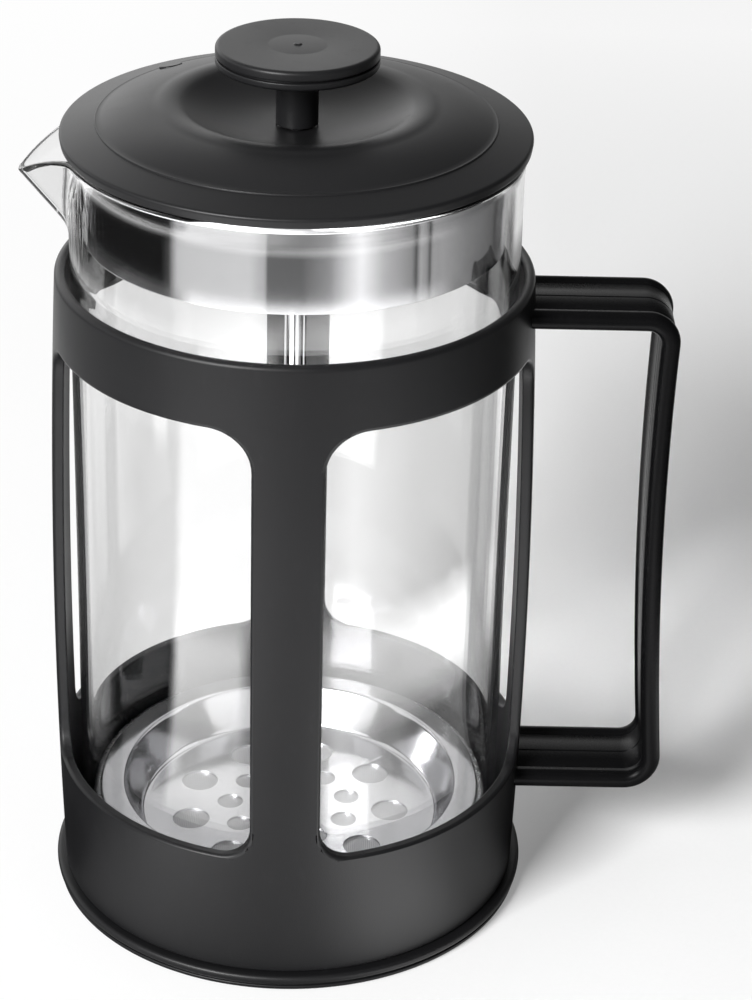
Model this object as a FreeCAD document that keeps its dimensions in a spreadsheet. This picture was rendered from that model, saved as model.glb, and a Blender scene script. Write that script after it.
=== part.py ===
import FreeCAD, Part
import math
import os
import re

import Sketcher

# Cafetiere (french press) with a barrel-shaped moulded cage, a loose glass
# beaker with a drawn pouring lip, a lid with a steel liner and a plunger.
# Millimetres. +Z is up, the origin is the centre of the standing face, the
# handle is on +X and the pouring lip on -X.

SIZES = {
    # cage: one moulding, top ring, four uprights and base band
    "cage_top_clearance": 0.8,
    "cage_foot_clearance": 1.8,
    "cage_bulge": 1.65,
    "cage_wall": 2.6,
    "cage_top": 157.4,
    "cage_top_round": 1.4,
    "cage_foot_round": 0.5,
    "ring_height": 15.6,
    "sill_top": 35.2,
    "upright_width": 15.7,
    "window_top_round": 9.5,
    "window_sill_round": 7.0,
    "window_edge_round": 0.9,
    # base tray that snaps into the cage
    "flange_reach": 2.2,
    "flange_height": 3.9,
    "flange_lip_inset": 0.6,
    "flange_lip_height": 1.2,
    "flange_groove": 0.6,
    "flange_bead": 0.9,
    "tray_floor": 2.4,
    "spigot_wall": 1.2,
    "spigot_clearance": 0.1,
    "spigot_top": 11.5,
    "spigot_slit": 2.0,
    "spigot_slits": 8,
    "snap_height": 8.0,
    "snap_rise": 0.45,
    "snap_half_width": 1.1,
    "snap_clearance": 0.1,
    "seat_width": 4.0,
    "seat_height": 5.0,
    # handle: one band with a bead along each edge
    "handle_width": 23.1,
    "handle_bead": 2.2,
    "handle_web": 3.3,
    "handle_seam": 0.3,
    "handle_foot_drop": 5.8,
    "grip_top_reach": 30.3,
    "grip_foot_reach": 31.9,
    "grip_radius": 880.0,
    "handle_top_bend": 5.3,
    "handle_foot_bend": 6.3,
    "tongue_width": 14.0,
    "tongue_thickness": 2.4,
    "tongue_length": 2.2,
    "tongue_clearance": 0.1,
    # glass beaker
    "beaker_gap": 0.3,
    "beaker_radius": 50.0,
    "beaker_wall": 2.0,
    "beaker_floor": 2.6,
    "beaker_height": 181.8,
    "beaker_corner": 12.0,
    "beaker_inner_corner": 10.0,
    "rim_flare": 1.0,
    "rim_flare_height": 11.0,
    "rim_flare_sag": 0.25,
    "rim_round": 0.85,
    "spout_height": 22.3,
    "spout_slope": 0.825,
    "spout_half_angle": 38.0,
    "spout_depth": 39.0,
    "spout_sink": 0.8,
    "spout_nose": 3.0,
    "spout_inner_nose": 1.2,
    "spout_wall": 3.2,
    "spout_blend": 8.0,
    "spout_dip": 7.5,
    "spout_dip_radius": 23.7,
    # lid: moulded cap, steel liner and rod bush
    "lid_gap": 0.3,
    "lid_overhang": 0.7,
    "lid_draft": 0.4,
    "lid_edge": 2.2,
    "lid_edge_round": 0.5,
    "lid_wall": 2.3,
    "lid_shelf": 8.2,
    "lid_ring_rise": 2.05,
    "lid_ring_step": 0.35,
    "lid_ring_width": 0.6,
    "lid_shoulder": 15.3,
    "lid_crest_rise": 6.4,
    "lid_crest_round": 1.8,
    "lid_crest_sag": 0.45,
    "lid_shoulder_bulge": 0.55,
    "lid_dish_sag": 1.1,
    "lid_centre_radius": 7.0,
    "lid_centre_rise": 1.1,
    "lid_boss_radius": 10.5,
    "pip_radius": 2.65,
    "pip_inset": 3.1,
    "pip_angle": 136.0,
    "pip_rise": 4.0,
    "liner_clearance": 1.7,
    "liner_wall": 0.6,
    "liner_skirt": 21.0,
    "liner_corner": 2.0,
    "bush_radius": 4.6,
    "bush_head_radius": 8.5,
    "bush_head": 2.4,
    "bush_recess": 0.5,
    # plunger: knob, rod and filter
    "knob_gap": 0.3,
    "knob_radius": 17.8,
    "knob_cap_thickness": 2.2,
    "knob_joint": 0.45,
    "knob_joint_depth": 0.8,
    "knob_plate_thickness": 1.75,
    "knob_neck_radius": 4.65,
    "knob_neck": 13.4,
    "knob_neck_flare": 2.0,
    "knob_peg_radius": 9.0,
    "knob_peg": 0.8,
    "knob_edge_round": 0.9,
    "knob_ring_radius": 6.4,
    "knob_ring_width": 0.5,
    "knob_ring_depth": 0.25,
    "knob_nub_radius": 1.0,
    "knob_nub": 0.3,
    "insert_radius": 3.3,
    "insert_length": 8.0,
    "rod_radius": 2.25,
    "rod_clearance": 0.06,
    "rod_end": 2.0,
    "rod_tip_radius": 1.95,
    "rod_chamfer": 0.4,
    "collar_radius": 4.5,
    "collar_height": 3.0,
    "hub_gap": 0.45,
    "filter_clearance": 2.2,
    "filter_sheet": 0.6,
    "filter_ledge": 5.7,
    "filter_slope": 4.4,
    "filter_pan_depth": 9.5,
    "large_hole_radius": 4.45,
    "small_hole_radius": 3.1,
    "large_hole_circle": 24.5,
    "small_hole_circle": 14.5,
    "large_hole_angle": -4.0,
    "small_hole_angle": 16.0,
    "filter_holes": 9,
    "spring_radius": 1.4,
    "spring_clearance": 0.3,
    "mesh_thickness": 0.35,
    "mesh_clearance": 1.1,
    "cross_inset": 2.2,
    "cross_sheet": 1.0,
    "cross_rim": 4.5,
    "cross_spoke": 7.0,
    "cross_spokes": 4,
    "hub_radius": 6.0,
    "hub_height": 4.2,
}

# Heights and radii that follow from the sizes above.
CAGE_TOP_RADIUS = "(beaker_radius + cage_top_clearance + cage_wall)"
CAGE_FOOT_RADIUS = "(beaker_radius + cage_foot_clearance + cage_wall)"
RING_BOTTOM = "(cage_top - ring_height)"
FLANGE_RADIUS = f"({CAGE_FOOT_RADIUS} + flange_reach)"
LIP_RADIUS = f"({FLANGE_RADIUS} - flange_lip_inset)"
SPIGOT_RADIUS = f"({CAGE_FOOT_RADIUS} - cage_wall - spigot_clearance)"
SEAT_OUTER_RADIUS = "(beaker_radius - beaker_corner - seat_width / 2)"
SEAT_INNER_RADIUS = f"({SEAT_OUTER_RADIUS} - seat_width)"
HANDLE_TOP = "(cage_top - ring_height / 2)"
HANDLE_FOOT = "(sill_top - handle_foot_drop)"
GRIP_TOP = f"({CAGE_TOP_RADIUS} + grip_top_reach)"
GRIP_FOOT = f"({CAGE_FOOT_RADIUS} + grip_foot_reach)"
BEAKER_FOOT = "(seat_height + beaker_gap)"
RIM_TOP = "(seat_height + beaker_gap + beaker_height)"
SPOUT_ROOT = f"({RIM_TOP} - spout_height)"
CAVITY_RADIUS = "(beaker_radius - beaker_wall)"
CAVITY_FLOOR = f"({BEAKER_FOOT} + beaker_floor)"
LID_BASE = f"({RIM_TOP} + lid_gap)"
LID_RADIUS = "(beaker_radius + rim_flare + lid_overhang)"
LID_RING_RADIUS = f"({LID_RADIUS} - lid_shelf)"
LID_CREST_RADIUS = f"({LID_RING_RADIUS} - lid_shoulder)"
LID_EDGE_TOP = f"({LID_BASE} + lid_edge)"
LID_RING = f"({LID_EDGE_TOP} + lid_ring_rise)"
LID_CREST = f"({LID_EDGE_TOP} + lid_crest_rise)"
LID_CENTRE = f"({LID_EDGE_TOP} + lid_centre_rise)"
LINER_RADIUS = f"({CAVITY_RADIUS} - liner_clearance)"
LINER_TOP = LID_BASE
KNOB_FOOT = f"({LID_CENTRE} + knob_gap)"
KNOB_BASE = f"({KNOB_FOOT} + knob_neck)"
KNOB_JOINT = f"({KNOB_BASE} + knob_plate_thickness)"
KNOB_CAP_BASE = f"({KNOB_JOINT} + knob_joint)"
KNOB_TOP = f"({KNOB_CAP_BASE} + knob_cap_thickness)"
INSERT_TOP = f"({KNOB_FOOT} + insert_length)"
ROD_TOP = f"({INSERT_TOP} + rod_end)"
BORE_RADIUS = "(rod_radius + rod_clearance)"
HUB_UNDER = f"({CAVITY_FLOOR} + hub_gap)"
CROSS_UNDER = f"({HUB_UNDER} + hub_height)"
MESH_UNDER = f"({CROSS_UNDER} + cross_sheet)"
PAN_UNDER = f"({MESH_UNDER} + mesh_thickness)"
PAN_TOP = f"({PAN_UNDER} + filter_sheet)"
LEDGE_TOP = f"({PAN_TOP} + filter_pan_depth)"
LEDGE_UNDER = f"({LEDGE_TOP} - filter_sheet)"
FILTER_RADIUS = f"({CAVITY_RADIUS} - filter_clearance)"
LEDGE_RADIUS = f"({FILTER_RADIUS} - filter_ledge)"
PAN_RADIUS = f"({LEDGE_RADIUS} - filter_slope)"
MESH_RADIUS = f"({CAVITY_RADIUS} - mesh_clearance)"
CROSS_RADIUS = f"({PAN_RADIUS} - cross_inset)"
SPRING_CIRCLE = f"({CAVITY_RADIUS} - spring_clearance - spring_radius)"
SPRING_HEIGHT = f"({LEDGE_UNDER} - spring_radius)"
SPRING_UNDER = f"({SPRING_HEIGHT} - spring_radius)"

# How far a quarter arc stands off its chord, for a radius of one.
QUARTER_BULGE = 1 - math.cos(math.pi / 4)

# How far a cutting shape runs past what it cuts.
PAST = 5

# How near a height an edge may end and still count as ending there.
NEAR = 0.5

document = FreeCAD.newDocument("french_press")
sheet = document.addObject("Spreadsheet::Sheet", "Sizes")
for row, (alias, value) in enumerate(SIZES.items(), start=1):
    sheet.set(f"A{row}", alias)
    sheet.set(f"B{row}", str(value))
    sheet.setAlias(f"B{row}", alias)
document.recompute()


def bound(expression):
    """The expression with every size name pointing at its cell."""
    def cell(match):
        word = match.group()
        return f"Sizes.{word}" if word in SIZES else word
    return re.sub(r"[a-z_]+", cell, str(expression))


def number(expression):
    """The value of an expression in the sizes."""
    return float(sheet.evalExpression(bound(expression)))


def drive(target, prop, expression):
    """Binds a property to an expression in the sizes."""
    target.setExpression(prop, bound(expression))


def side_between(sketch, here, there, bulge):
    """Adds a line, or an arc that stands off its chord, and says which end is which."""
    if bulge is None:
        return sketch.addGeometry(Part.LineSegment(here, there)), 1, 2
    chord = there - here
    radius = chord.Length ** 2 / 8 / abs(bulge) + abs(bulge) / 2
    left = FreeCAD.Vector(-chord.y, chord.x, 0).normalize()
    centre = (here + there) * 0.5 + left * (bulge - math.copysign(radius, bulge))
    start, finish = (here, there) if bulge < 0 else (there, here)
    first = math.atan2(start.y - centre.y, start.x - centre.x)
    last = math.atan2(finish.y - centre.y, finish.x - centre.x)
    circle = Part.Circle(centre, FreeCAD.Vector(0, 0, 1), radius)
    added = sketch.addGeometry(Part.ArcOfCircle(circle, first, last))
    return (added, 1, 2) if bulge < 0 else (added, 2, 1)


def pin(sketch, constraint, expression):
    """Adds a driving constraint and binds it to the sizes."""
    index = sketch.addConstraint(constraint)
    drive(sketch, f"Constraints[{index}]", expression)


def place(sketch, geometry, point, x, y):
    """Holds a point at x and y, each bound to the sizes or held on an axis."""
    for kind, axis, expression in (("DistanceX", -2, x), ("DistanceY", -1, y)):
        if expression == "0":
            sketch.addConstraint(Sketcher.Constraint("PointOnObject", geometry, point, axis))
        else:
            distance = Sketcher.Constraint(kind, -1, 1, geometry, point, number(expression))
            pin(sketch, distance, expression)


def bind_radius(sketch, arc, here, there, bulge):
    """Binds an arc's radius to its two ends and to how far it stands off its chord."""
    across = f"(({there[0]}) - ({here[0]}))"
    along = f"(({there[1]}) - ({here[1]}))"
    chord = f"({across} * {across} + {along} * {along})"
    radius = f"{chord} / (8 * abs({bulge})) + abs({bulge}) / 2"
    pin(sketch, Sketcher.Constraint("Radius", arc, number(radius)), radius)


def draw(sketch, corners):
    """Draws a closed outline of (x, y) or (x, y, bulge) corners, each bound to the sizes."""
    points = [FreeCAD.Vector(number(corner[0]), number(corner[1]), 0) for corner in corners]
    following = corners[1:] + corners[:1]
    sides = []
    for here, there, corner in zip(points, points[1:] + points[:1], corners):
        bulge = number(corner[2]) if len(corner) > 2 else None
        sides.append(side_between(sketch, here, there, bulge))
    for side, after in zip(sides, sides[1:] + sides[:1]):
        sketch.addConstraint(Sketcher.Constraint("Coincident", side[0], side[2], after[0], after[1]))
    for side, corner, after in zip(sides, corners, following):
        place(sketch, side[0], side[1], corner[0], corner[1])
        if len(corner) > 2:
            bind_radius(sketch, side[0], corner, after, corner[2])


def draw_circle(sketch, x, y, radius):
    """Draws a circle bound to the sizes."""
    centre = FreeCAD.Vector(number(x), number(y), 0)
    circle = sketch.addGeometry(Part.Circle(centre, FreeCAD.Vector(0, 0, 1), number(radius)))
    place(sketch, circle, 3, x, y)
    pin(sketch, Sketcher.Constraint("Radius", circle, number(radius)), radius)


def new_body(label):
    """A body whose label names its file."""
    body = document.addObject("PartDesign::Body", label)
    body.Label = label
    return body


def body_sketch(body, name, role):
    """A sketch on one of the body's own origin planes."""
    sketch = body.newObject("Sketcher::SketchObject", name)
    plane = [feature for feature in body.Origin.OriginFeatures if feature.Role == role][0]
    sketch.AttachmentSupport = (plane, [""])
    sketch.MapMode = "FlatFace"
    return sketch


def free_sketch(name, tilt=90, turn=0):
    """A sketch outside any body, tilted up from XY about X and then turned about Z."""
    sketch = document.addObject("Sketcher::SketchObject", name)
    upright = FreeCAD.Rotation(FreeCAD.Vector(1, 0, 0), tilt)
    around = FreeCAD.Rotation(FreeCAD.Vector(0, 0, 1), turn)
    sketch.Placement = FreeCAD.Placement(FreeCAD.Vector(0, 0, 0), around * upright)
    return sketch


def turned_body(label, corners):
    """A body turned about Z from an outline of radius and height."""
    body = new_body(label)
    sketch = body_sketch(body, f"{label}_profile", "XZ_Plane")
    draw(sketch, corners)
    turned = body.newObject("PartDesign::Revolution", f"{label}_turned")
    turned.Profile = sketch
    turned.ReferenceAxis = (sketch, ["V_Axis"])
    turned.Angle = 360
    document.recompute()
    return body


def turned_part(name, corners):
    """A plain turned solid about Z, for use in a boolean."""
    sketch = free_sketch(f"{name}_profile")
    draw(sketch, corners)
    turned = document.addObject("Part::Revolution", name)
    turned.Source = sketch
    turned.Axis = (0, 0, 1)
    turned.Angle = 360
    turned.Solid = True
    return turned


def extruded(name, sketch, direction, length, symmetric=False):
    """A sketch extruded along a direction."""
    solid = document.addObject("Part::Extrusion", name)
    solid.Base = sketch
    solid.DirMode = "Custom"
    solid.Dir = direction
    solid.Solid = True
    solid.Symmetric = symmetric
    drive(solid, "LengthFwd", length)
    return solid


def combined(kind, label, *shapes):
    """A boolean of kind Cut, MultiFuse or MultiCommon on whole shapes."""
    result = document.addObject(f"Part::{kind}", label)
    result.Label = label
    if kind == "Cut":
        result.Base, result.Tool = shapes
    else:
        result.Shapes = list(shapes)
    document.recompute()
    return result


def on_circle(radius, angle):
    """The x and y of a point at a radius and an angle in degrees."""
    return f"({radius}) * cos({angle} * 1 deg)", f"({radius}) * sin({angle} * 1 deg)"


def drilled_circle(body, name, radius, circle, first_angle, count, face):
    """A ring of round holes through a turned sheet, from one hole and a polar pattern."""
    sketch = body_sketch(body, f"{name}_sketch", "XY_Plane")
    drive(sketch, "AttachmentOffset.Base.z", face)
    x, y = on_circle(circle, first_angle)
    draw_circle(sketch, x, y, radius)
    pocket = body.newObject("PartDesign::Pocket", f"{name}_pocket")
    pocket.Profile = sketch
    pocket.Type = "ThroughAll"
    pocket.Midplane = True
    document.recompute()
    pattern_round(body, name, pocket, sketch, count)


def pattern_round(body, name, feature, sketch, count):
    """Repeats a feature about Z and makes the pattern the body's tip."""
    pattern = body.newObject("PartDesign::PolarPattern", f"{name}_ring")
    pattern.Originals = [feature]
    pattern.Axis = (sketch, ["N_Axis"])
    pattern.Angle = 360
    drive(pattern, "Occurrences", count)
    body.Tip = pattern
    document.recompute()


# --- cage -----------------------------------------------------------------

def slab_profile(sketch):
    """What stands of the cage seen from one side: ring, upright and base band."""
    reach = f"({FLANGE_RADIUS} + {PAST})"
    half = "(upright_width / 2)"
    over = f"(cage_top + {PAST})"
    under = f"(flange_height - {PAST})"
    right = [
        (reach, under),
        (reach, "sill_top"),
        (f"{half} + window_sill_round", "sill_top", f"{QUARTER_BULGE} * window_sill_round"),
        (half, "sill_top + window_sill_round"),
        (half, f"{RING_BOTTOM} - window_top_round", f"{QUARTER_BULGE} * window_top_round"),
        (f"{half} + window_top_round", RING_BOTTOM),
        (reach, RING_BOTTOM),
        (reach, over),
    ]
    left = [
        (f"-{reach}", over),
        (f"-{reach}", RING_BOTTOM),
        (f"-{half} - window_top_round", RING_BOTTOM, f"{QUARTER_BULGE} * window_top_round"),
        (f"-{half}", f"{RING_BOTTOM} - window_top_round"),
        (f"-{half}", "sill_top + window_sill_round", f"{QUARTER_BULGE} * window_sill_round"),
        (f"-{half} - window_sill_round", "sill_top"),
        (f"-{reach}", "sill_top"),
        (f"-{reach}", under),
    ]
    draw(sketch, right + left)


def make_cage():
    """Barrel wall kept only where one of two crossing slabs stands."""
    inner_foot = f"({CAGE_FOOT_RADIUS} - cage_wall)"
    inner_top = f"({CAGE_TOP_RADIUS} - cage_wall)"
    wall = turned_part("cage_wall_ring", [
        (f"{inner_foot} + cage_foot_round", "flange_height"),
        (f"{CAGE_FOOT_RADIUS} - cage_foot_round", "flange_height", f"-{QUARTER_BULGE} * cage_foot_round"),
        (CAGE_FOOT_RADIUS, "flange_height + cage_foot_round", "-cage_bulge"),
        (CAGE_TOP_RADIUS, "cage_top - cage_top_round", f"-{QUARTER_BULGE} * cage_top_round"),
        (f"{CAGE_TOP_RADIUS} - cage_top_round", "cage_top"),
        (f"{inner_top} + cage_top_round / 2", "cage_top", f"-{QUARTER_BULGE} * cage_top_round / 2"),
        (inner_top, "cage_top - cage_top_round / 2", "cage_bulge"),
        (inner_foot, "flange_height + cage_foot_round"),
    ])
    slabs = []
    for name, turn, direction in (("slab_front", 0, (0, 1, 0)), ("slab_side", 90, (1, 0, 0))):
        sketch = free_sketch(f"{name}_sketch", turn=turn)
        slab_profile(sketch)
        slabs.append(extruded(name, sketch, direction, f"2 * ({FLANGE_RADIUS} + {PAST})", symmetric=True))
    cross = combined("MultiFuse", "cage_cross", *slabs)
    bare = combined("MultiCommon", "cage_bare", wall, cross)
    mortised = combined("Cut", "cage_mortised", bare, make_mortises())
    grooved = combined("Cut", "cage_grooved", mortised, make_snap_groove())
    return rounded_windows(grooved)


def make_mortises():
    """The two slots in the cage wall that take the handle's tongues."""
    slots = []
    for name, height in (("mortise_top", HANDLE_TOP), ("mortise_foot", HANDLE_FOOT)):
        slot = document.addObject("Part::Box", name)
        drive(slot, "Length", f"{FLANGE_RADIUS} - {CAGE_TOP_RADIUS} + 2 * cage_wall")
        drive(slot, "Width", "tongue_width + 2 * tongue_clearance")
        drive(slot, "Height", "tongue_thickness + 2 * tongue_clearance")
        drive(slot, "Placement.Base.x", f"{CAGE_TOP_RADIUS} - 2 * cage_wall")
        drive(slot, "Placement.Base.y", "-tongue_width / 2 - tongue_clearance")
        drive(slot, "Placement.Base.z", f"{height} - tongue_thickness / 2 - tongue_clearance")
        slots.append(slot)
    return combined("MultiFuse", "mortises", *slots)


def make_snap_groove():
    """The groove inside the cage's foot that the tray's bead snaps into."""
    spigot = SPIGOT_RADIUS
    return turned_part("snap_groove", [
        (f"{spigot} - spigot_wall", "snap_height - snap_half_width - snap_clearance"),
        (f"{spigot} + snap_clearance", "snap_height - snap_half_width - snap_clearance"),
        (f"{spigot} + snap_rise + snap_clearance", "snap_height"),
        (f"{spigot} + snap_clearance", "snap_height + snap_half_width + snap_clearance"),
        (f"{spigot} - spigot_wall", "snap_height + snap_half_width + snap_clearance"),
    ])


def rounded_windows(cage):
    """Eases the windows' outer edges, which lie on the barrel between sill and ring."""
    between = number(f"{CAGE_FOOT_RADIUS} - cage_wall / 2")
    size = number("window_edge_round")
    chosen = []
    for index, edge in enumerate(cage.Shape.Edges, start=1):
        middle = edge.valueAt((edge.FirstParameter + edge.LastParameter) / 2)
        in_window = number("sill_top") - NEAR < middle.z < number(RING_BOTTOM) + NEAR
        if in_window and math.hypot(middle.x, middle.y) > between:
            chosen.append((index, size, size))
    fillet = document.addObject("Part::Fillet", "cage")
    fillet.Label = "cage"
    fillet.Base = cage
    fillet.Edges = chosen
    document.recompute()
    return fillet


# --- base tray --------------------------------------------------------------

def make_base():
    """Standing flange, tray floor with a seat for the glass, and a snap spigot."""
    spigot = SPIGOT_RADIUS
    floor_top = "tray_floor"
    groove_radius = f"({LIP_RADIUS} - flange_groove)"
    groove_top = "(flange_lip_height + flange_groove)"
    body = turned_body("base", [
        ("0", "0"),
        (groove_radius, "0"),
        (LIP_RADIUS, "flange_groove"),
        (LIP_RADIUS, "flange_lip_height"),
        (groove_radius, "flange_lip_height"),
        (groove_radius, groove_top),
        (f"{FLANGE_RADIUS} - flange_bead", groove_top, "-flange_bead"),
        (f"{FLANGE_RADIUS} - flange_bead", "flange_height"),
        (spigot, "flange_height"),
        (spigot, "snap_height - snap_half_width"),
        (f"{spigot} + snap_rise", "snap_height"),
        (spigot, "snap_height + snap_half_width"),
        (spigot, "spigot_top"),
        (f"{spigot} - spigot_wall", "spigot_top"),
        (f"{spigot} - spigot_wall", floor_top),
        (SEAT_OUTER_RADIUS, floor_top),
        (SEAT_OUTER_RADIUS, "seat_height"),
        (SEAT_INNER_RADIUS, "seat_height"),
        (SEAT_INNER_RADIUS, floor_top),
        ("0", floor_top),
    ])
    sketch = body_sketch(body, "slit_sketch", "XY_Plane")
    drive(sketch, "AttachmentOffset.Base.z", "flange_height + spigot_wall")
    half = "(spigot_slit / 2)"
    draw(sketch, [
        (f"{spigot} - 2 * spigot_wall", f"-{half}"),
        (f"{spigot} + 2 * spigot_wall", f"-{half}"),
        (f"{spigot} + 2 * spigot_wall", half),
        (f"{spigot} - 2 * spigot_wall", half),
    ])
    slit = body.newObject("PartDesign::Pocket", "slit")
    slit.Profile = sketch
    slit.Type = "Length"
    slit.Reversed = True
    drive(slit, "Length", "spigot_top")
    document.recompute()
    pattern_round(body, "slits", slit, sketch, "spigot_slits")
    return body


# --- handle -----------------------------------------------------------------

def draw_route(sketch):
    """The handle's centre line: bar, bend, hollow grip, bend, bar, all tangent."""
    top = number(HANDLE_TOP)
    foot = number(HANDLE_FOOT)
    top_bend = number("handle_top_bend")
    foot_bend = number("handle_foot_bend")
    grip = number("grip_radius")
    upper = FreeCAD.Vector(number(GRIP_TOP) - top_bend, top - top_bend, 0)
    lower = FreeCAD.Vector(number(GRIP_FOOT) - foot_bend, foot + foot_bend, 0)
    between = lower - upper
    along = ((grip + top_bend) ** 2 - (grip + foot_bend) ** 2 + between.Length ** 2) / (2 * between.Length)
    aside = math.sqrt((grip + top_bend) ** 2 - along ** 2)
    step = FreeCAD.Vector(between).normalize()
    pivot = upper + step * along + FreeCAD.Vector(-step.y, step.x, 0) * aside
    start = FreeCAD.Vector(number(f"{CAGE_TOP_RADIUS} - cage_wall"), top, 0)
    end = FreeCAD.Vector(start.x, foot, 0)
    axis = FreeCAD.Vector(0, 0, 1)
    angle_top = math.atan2(pivot.y - upper.y, pivot.x - upper.x)
    angle_foot = math.atan2(pivot.y - lower.y, pivot.x - lower.x)
    quarter = math.pi / 2
    bar_top = sketch.addGeometry(Part.LineSegment(start, FreeCAD.Vector(upper.x, top, 0)))
    bend_top = sketch.addGeometry(Part.ArcOfCircle(
        Part.Circle(upper, axis, top_bend), angle_top, quarter))
    grip_arc = sketch.addGeometry(Part.ArcOfCircle(
        Part.Circle(pivot, axis, grip), angle_top + math.pi, angle_foot + math.pi))
    bend_foot = sketch.addGeometry(Part.ArcOfCircle(
        Part.Circle(lower, axis, foot_bend), -quarter, angle_foot))
    bar_foot = sketch.addGeometry(Part.LineSegment(FreeCAD.Vector(lower.x, foot, 0), end))
    for here, there in (
        ((bar_top, 2), (bend_top, 2)),
        ((bend_top, 1), (grip_arc, 1)),
        ((grip_arc, 2), (bend_foot, 2)),
        ((bend_foot, 1), (bar_foot, 1)),
    ):
        sketch.addConstraint(Sketcher.Constraint("Tangent", *here, *there))
    for line in (bar_top, bar_foot):
        sketch.addConstraint(Sketcher.Constraint("Horizontal", line))
    for line, point, height in ((bar_top, 1, HANDLE_TOP), (bar_foot, 2, HANDLE_FOOT)):
        begin = f"{CAGE_TOP_RADIUS} - cage_wall"
        pin(sketch, Sketcher.Constraint("DistanceX", -1, 1, line, point, number(begin)), begin)
        pin(sketch, Sketcher.Constraint("DistanceY", -1, 1, line, point, number(height)), height)
    for arc, radius in (
        (bend_top, "handle_top_bend"),
        (grip_arc, "grip_radius"),
        (bend_foot, "handle_foot_bend"),
    ):
        pin(sketch, Sketcher.Constraint("Radius", arc, number(radius)), radius)
    for arc, centre in (
        (bend_top, f"{GRIP_TOP} - handle_top_bend"),
        (bend_foot, f"{GRIP_FOOT} - handle_foot_bend"),
    ):
        pin(sketch, Sketcher.Constraint("DistanceX", -1, 1, arc, 3, number(centre)), centre)


def draw_section(sketch):
    """The band's section: a bead at each edge and a seam groove along each face."""
    half = "(handle_width / 2 - handle_bead)"
    web = "(handle_web / 2)"
    inset = "sqrt(handle_bead * handle_bead - handle_web * handle_web / 4)"
    middle = HANDLE_TOP
    bead_bulge = f"(handle_bead + {inset})"
    draw(sketch, [
        (f"{half} - {inset}", f"{middle} - {web}", f"-{bead_bulge}"),
        (f"{half} - {inset}", f"{middle} + {web}"),
        ("handle_seam", f"{middle} + {web}"),
        ("0", f"{middle} + {web} - handle_seam"),
        ("-handle_seam", f"{middle} + {web}"),
        (f"-{half} + {inset}", f"{middle} + {web}", f"-{bead_bulge}"),
        (f"-{half} + {inset}", f"{middle} - {web}"),
        ("-handle_seam", f"{middle} - {web}"),
        ("0", f"{middle} - {web} + handle_seam"),
        ("handle_seam", f"{middle} - {web}"),
    ])


def make_handle():
    """A beaded band swept round the route, seated on the barrel, with two tongues."""
    body = new_body("handle")
    route = body_sketch(body, "handle_route", "XZ_Plane")
    draw_route(route)
    section = body_sketch(body, "handle_section", "YZ_Plane")
    drive(section, "AttachmentOffset.Base.z", f"{CAGE_TOP_RADIUS} - cage_wall")
    draw_section(section)
    band = body.newObject("PartDesign::AdditivePipe", "handle_band")
    band.Profile = section
    band.Spine = route
    band.Transition = "Transformed"
    document.recompute()
    barrel = body_sketch(body, "handle_seat_sketch", "XZ_Plane")
    draw(barrel, [
        ("0", "flange_height + cage_foot_round"),
        (CAGE_FOOT_RADIUS, "flange_height + cage_foot_round", "-cage_bulge"),
        (CAGE_TOP_RADIUS, "cage_top - cage_top_round"),
        ("0", "cage_top - cage_top_round"),
    ])
    seat = body.newObject("PartDesign::Groove", "handle_seat")
    seat.Profile = barrel
    seat.ReferenceAxis = (barrel, ["V_Axis"])
    seat.Angle = 360
    document.recompute()
    for name, height, wall in (
        ("tongue_top", HANDLE_TOP, CAGE_TOP_RADIUS),
        ("tongue_foot", HANDLE_FOOT, CAGE_FOOT_RADIUS),
    ):
        add_tongue(body, name, height, wall)
    return body


def add_tongue(body, name, height, wall):
    """A flat tongue from the end of a bar into the cage wall's slot."""
    sketch = body_sketch(body, f"{name}_sketch", "YZ_Plane")
    drive(sketch, "AttachmentOffset.Base.z", f"{wall} - tongue_length")
    half = "(tongue_width / 2)"
    thick = "(tongue_thickness / 2)"
    draw(sketch, [
        (f"-{half}", f"{height} - {thick}"),
        (half, f"{height} - {thick}"),
        (half, f"{height} + {thick}"),
        (f"-{half}", f"{height} + {thick}"),
    ])
    tongue = body.newObject("PartDesign::Pad", name)
    tongue.Profile = sketch
    drive(tongue, "Length", "2 * tongue_length + cage_wall")
    document.recompute()


# --- beaker -----------------------------------------------------------------

def glass_solid(name, inset, floor, corner, top):
    """The drum of the beaker, or its hollow, with the gentle flare under the rim."""
    radius = f"(beaker_radius - {inset})"
    return turned_part(name, [
        ("0", floor),
        (f"{radius} - {corner}", floor, f"-{QUARTER_BULGE} * {corner}"),
        (radius, f"{floor} + {corner}"),
        (radius, f"{RIM_TOP} - rim_flare_height", "rim_flare_sag"),
        (f"{radius} + rim_flare", top),
        ("0", top),
    ])


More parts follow.
